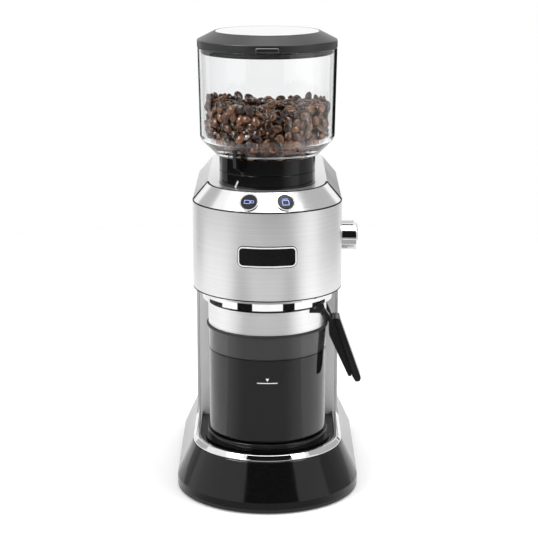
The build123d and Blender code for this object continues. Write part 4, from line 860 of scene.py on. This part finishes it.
mark = {
    "radius": 49.32, "height": 104.1, "width": 17.0, "thick": 0.7, "ink": 0.08, "strips": 12,
    "arrow": ((-1.5, 4.0), (0, 1.5), (1.5, 4.0))}
bm = bmesh.new()
addBar(bm, mark["width"], mark["thick"])
cutStrips(bm, mark["width"], mark["strips"])
bm.faces.new([bm.verts.new((x * mm, y * mm, 0)) for x, y in mark["arrow"]])
for face in bm.faces:
    face.normal_update()
    if face.normal.z < 0:
        face.normal_flip()
bmesh.ops.solidify(bm, geom=bm.faces[:], thickness=mark["ink"] * mm)
bendRound(bm, mark["radius"] * mm, mark["height"] * mm)
bmesh.ops.recalc_face_normals(bm, faces=bm.faces[:])
finishPiece(bm, "fill_line", "jar", printWhite, ())

index = {
    "radius": 39.65, "angle": -38.8, "height": 267.0, "width": 1.5, "length": 6.4, "lean": 28, "ink": 0.08}
lean = Matrix.Rotation(radians(-index["lean"]), 3, "Z")
around = Matrix.Rotation(radians(index["angle"]), 3, "Z")
bm = bmesh.new()
addBar(bm, index["width"], index["length"])
bmesh.ops.rotate(bm, verts=bm.verts[:], cent=(0, 0, 0), matrix=lean)
bmesh.ops.solidify(bm, geom=bm.faces[:], thickness=index["ink"] * mm)
bendRound(bm, index["radius"] * mm, index["height"] * mm)
bmesh.ops.rotate(bm, verts=bm.verts[:], cent=burrAxis, matrix=around)
bmesh.ops.recalc_face_normals(bm, faces=bm.faces[:])
finishPiece(bm, "index_mark", "grinder", printWhite, ())
print("marks done")


# Inner pieces keep their CAD shape
dress(burrSteel, "ring_burr", "cone_burr")
dress(shaftSteel, "burr_shaft", "burr_nut", "idler_axle", "knob_spindle", "motor_screws")
dress(zincPlate, "base_screws", "motor_can", "motor_bracket")
dress(acetalGear, "burr_gear", "idler_gear", "sweeper", "burr_carrier")
dress(bronzeBush, "burr_bushes", "motor_bushes", "motor_pinion")
dress(coreIron, "motor_rotor")
dress(castMetal, "burr_housing", "gear_frame")
dress(boardGreen, "power_board", "switch_bracket")
dress(blackMoulded, "grounds_chute", "head_floor", "knob_encoder", "button_switches")
print("inner pieces dressed")


# Floor, lights and cards
studio = {
    "floorSize": 3.0, "floorSides": 96, "cardSteps": 40, "floorColour": grey(0.94), "floorRough": 0.9,
    "floorGlow": 0.12, "fadeStart": 0.55, "fadeEnd": 1.2, "ambient": 0.62, "aim": (0, burrY, 0.2),
    "key": {"place": (-1.25, -1.15, 1.05), "size": (0.9, 1.3), "power": 15},
    "fill": {"place": (1.35, -0.75, 0.85), "size": (0.8, 1.3), "power": 12},
    "top": {"place": (0.1, -0.1, 1.6), "size": (1.1, 1.1), "power": 10, "seen": True}}


def makeWorld():  # bright where it is seen, softer as light
    world = bpy.data.worlds.new("studioWorld")
    world.use_nodes = True
    tree = world.node_tree
    soft = tree.nodes["Background"]
    white = addNode(tree, "ShaderNodeBackground")
    for shader, strength in ((soft, studio["ambient"]), (white, 1.0)):
        shader.inputs["Color"].default_value = (1, 1, 1, 1)
        shader.inputs["Strength"].default_value = strength
    path = addNode(tree, "ShaderNodeLightPath")
    seen = calc(tree, "MAXIMUM", path.outputs["Is Camera Ray"], path.outputs["Is Glossy Ray"])
    seen = calc(tree, "MAXIMUM", seen, path.outputs["Is Transmission Ray"])
    mixShaders(tree, seen, soft, white, "World Output")
    return world


def makeFloorWhite():  # fades out away from the middle
    material = bpy.data.materials.new("floorWhite")
    material.use_nodes = True
    tree = material.node_tree
    shader = tree.nodes["Principled BSDF"]
    shader.inputs["Base Color"].default_value = (*studio["floorColour"], 1)
    shader.inputs["Emission Color"].default_value = (1, 1, 1, 1)
    shader.inputs["Roughness"].default_value = studio["floorRough"]
    path = addNode(tree, "ShaderNodeLightPath")
    glow = calc(tree, "MULTIPLY", path.outputs["Is Camera Ray"], studio["floorGlow"])
    tree.links.new(glow, shader.inputs["Emission Strength"])
    coords = addNode(tree, "ShaderNodeTexCoord")
    length = addNode(tree, "ShaderNodeVectorMath", operation="LENGTH")
    tree.links.new(coords.outputs["Object"], length.inputs[0])
    fade = rangeTo(tree, length.outputs["Value"], studio["fadeStart"], studio["fadeEnd"], 0.0, 1.0)
    mixShaders(tree, fade, shader, addNode(tree, "ShaderNodeBsdfTransparent"))
    return material


scene.world = makeWorld()
bm = bmesh.new()
bmesh.ops.create_circle(bm, cap_ends=True, segments=studio["floorSides"], radius=studio["floorSize"])
floor = makeObject(bm, "floor", makeFloorWhite())


def addLamp(name, look):
    data = bpy.data.lights.new(name, "AREA")
    data.shape = "RECTANGLE"
    data.size, data.size_y = look["size"]
    data.energy = look["power"]
    lamp = bpy.data.objects.new(name, data)
    lamp.location = look["place"]
    lamp.rotation_euler = (Vector(studio["aim"]) - lamp.location).to_track_quat("-Z", "Y").to_euler()
    lamp.visible_glossy = look.get("seen", False)
    scene.collection.objects.link(lamp)


for name in ("key", "fill", "top"):
    addLamp(name + "Lamp", studio[name])

# Dark cards and two bright ones round the burr axis, seen only in mirrors and clear pieces
cards = {  # degrees from the front, (radius, height) of both edges, tone, softness of the ends in degrees
    "cardFront": ((-31, 40), ((1.30, 0.16), (1.30, 1.75)), 0.01, 2),
    "cardTrim": ((-45, 60), ((1.30, 1.75), (1.30, 2.43)), 0.01, 2),
    "cardFloor": ((-140, 64), ((1.36, 0.004), (2.9, 0.004)), 0.01, 30),
    "cardBand": ((-30, 46), ((0.76, 0.003), (1.36, 0.003)), 0.72, 24),
    "flagLeft": ((-53, -25), ((0.61, 0.005), (0.84, 0.005)), 0.01, 1),
    "flagRight": ((26, 48), ((0.61, 0.005), (0.84, 0.005)), 0.01, 1),
    "cardLid": ((-24, 28), ((0.56, 0.003), (0.65, 0.003)), 0.70, 2),
    "cardJar": ((-80, 66), ((0.08, 0.003), (0.56, 0.003)), 0.45, 34),
    "cardLeft": ((-140, -111), ((0.85, 0.0), (0.85, 1.0)), 0.50, 3),
    "cardRight": ((79, 140), ((0.85, 0.0), (0.85, 1.8)), 0.50, 3),
    "edgeLeft": ((-166, -150), ((0.95, 0.12), (0.95, 0.31)), 0.01, 1),
    "edgeRight": ((141, 176), ((0.95, 0.12), (0.95, 0.31)), 0.01, 1),
    "glintLeft": ((-80, -36), ((1.25, 1.15), (1.25, 1.75)), 18.0, 6),
    "glintRight": ((46, 76), ((1.25, 1.25), (1.25, 1.75)), 12.0, 6)}


def makeCardTone(name, low, high, fade, tone):
    material = bpy.data.materials.new(name)
    material.use_nodes = True
    tree = material.node_tree
    coords = addNode(tree, "ShaderNodeTexCoord")
    parts = addNode(tree, "ShaderNodeSeparateXYZ")
    tree.links.new(coords.outputs["Object"], parts.inputs["Vector"])
    turn = calc(tree, "ARCTAN2", parts.outputs["X"], calc(tree, "SUBTRACT", burrY, parts.outputs["Y"]))
    rise = rangeTo(tree, turn, low, low + fade, 0.0, 1.0)
    fall = rangeTo(tree, turn, high - fade, high, 1.0, 0.0)
    level = rangeTo(tree, calc(tree, "MULTIPLY", rise, fall), 0.0, 1.0, 1.0, tone)
    glow = addNode(tree, "ShaderNodeEmission")
    tree.links.new(level, glow.inputs["Color"])
    path = addNode(tree, "ShaderNodeLightPath")
    mirrored = calc(tree, "GREATER_THAN", path.outputs["Glossy Depth"], 0.5)
    away = addNode(tree, "ShaderNodeBsdfTransparent")  # not seen straight through the bowl
    mixShaders(tree, mirrored, away, glow)
    return material


def addCard(name, span, points, tone, soft):
    low, high = (radians(end) for end in span)
    bm = bmesh.new()
    verts = [bm.verts.new((0, burrY - radius, height)) for radius, height in points]
    edge = bm.edges.new(verts)
    bmesh.ops.rotate(bm, verts=verts, cent=burrAxis, matrix=Matrix.Rotation(low, 3, "Z"))
    bmesh.ops.spin(
        bm, geom=verts + [edge], cent=burrAxis, axis=(0, 0, 1), angle=high - low, steps=studio["cardSteps"])
    card = makeObject(bm, name, makeCardTone(name, low, high, radians(soft), tone))
    card.visible_camera = False
    card.visible_diffuse = False
    card.visible_shadow = False


for name, look in cards.items():
    addCard(name, *look)
print("studio done")
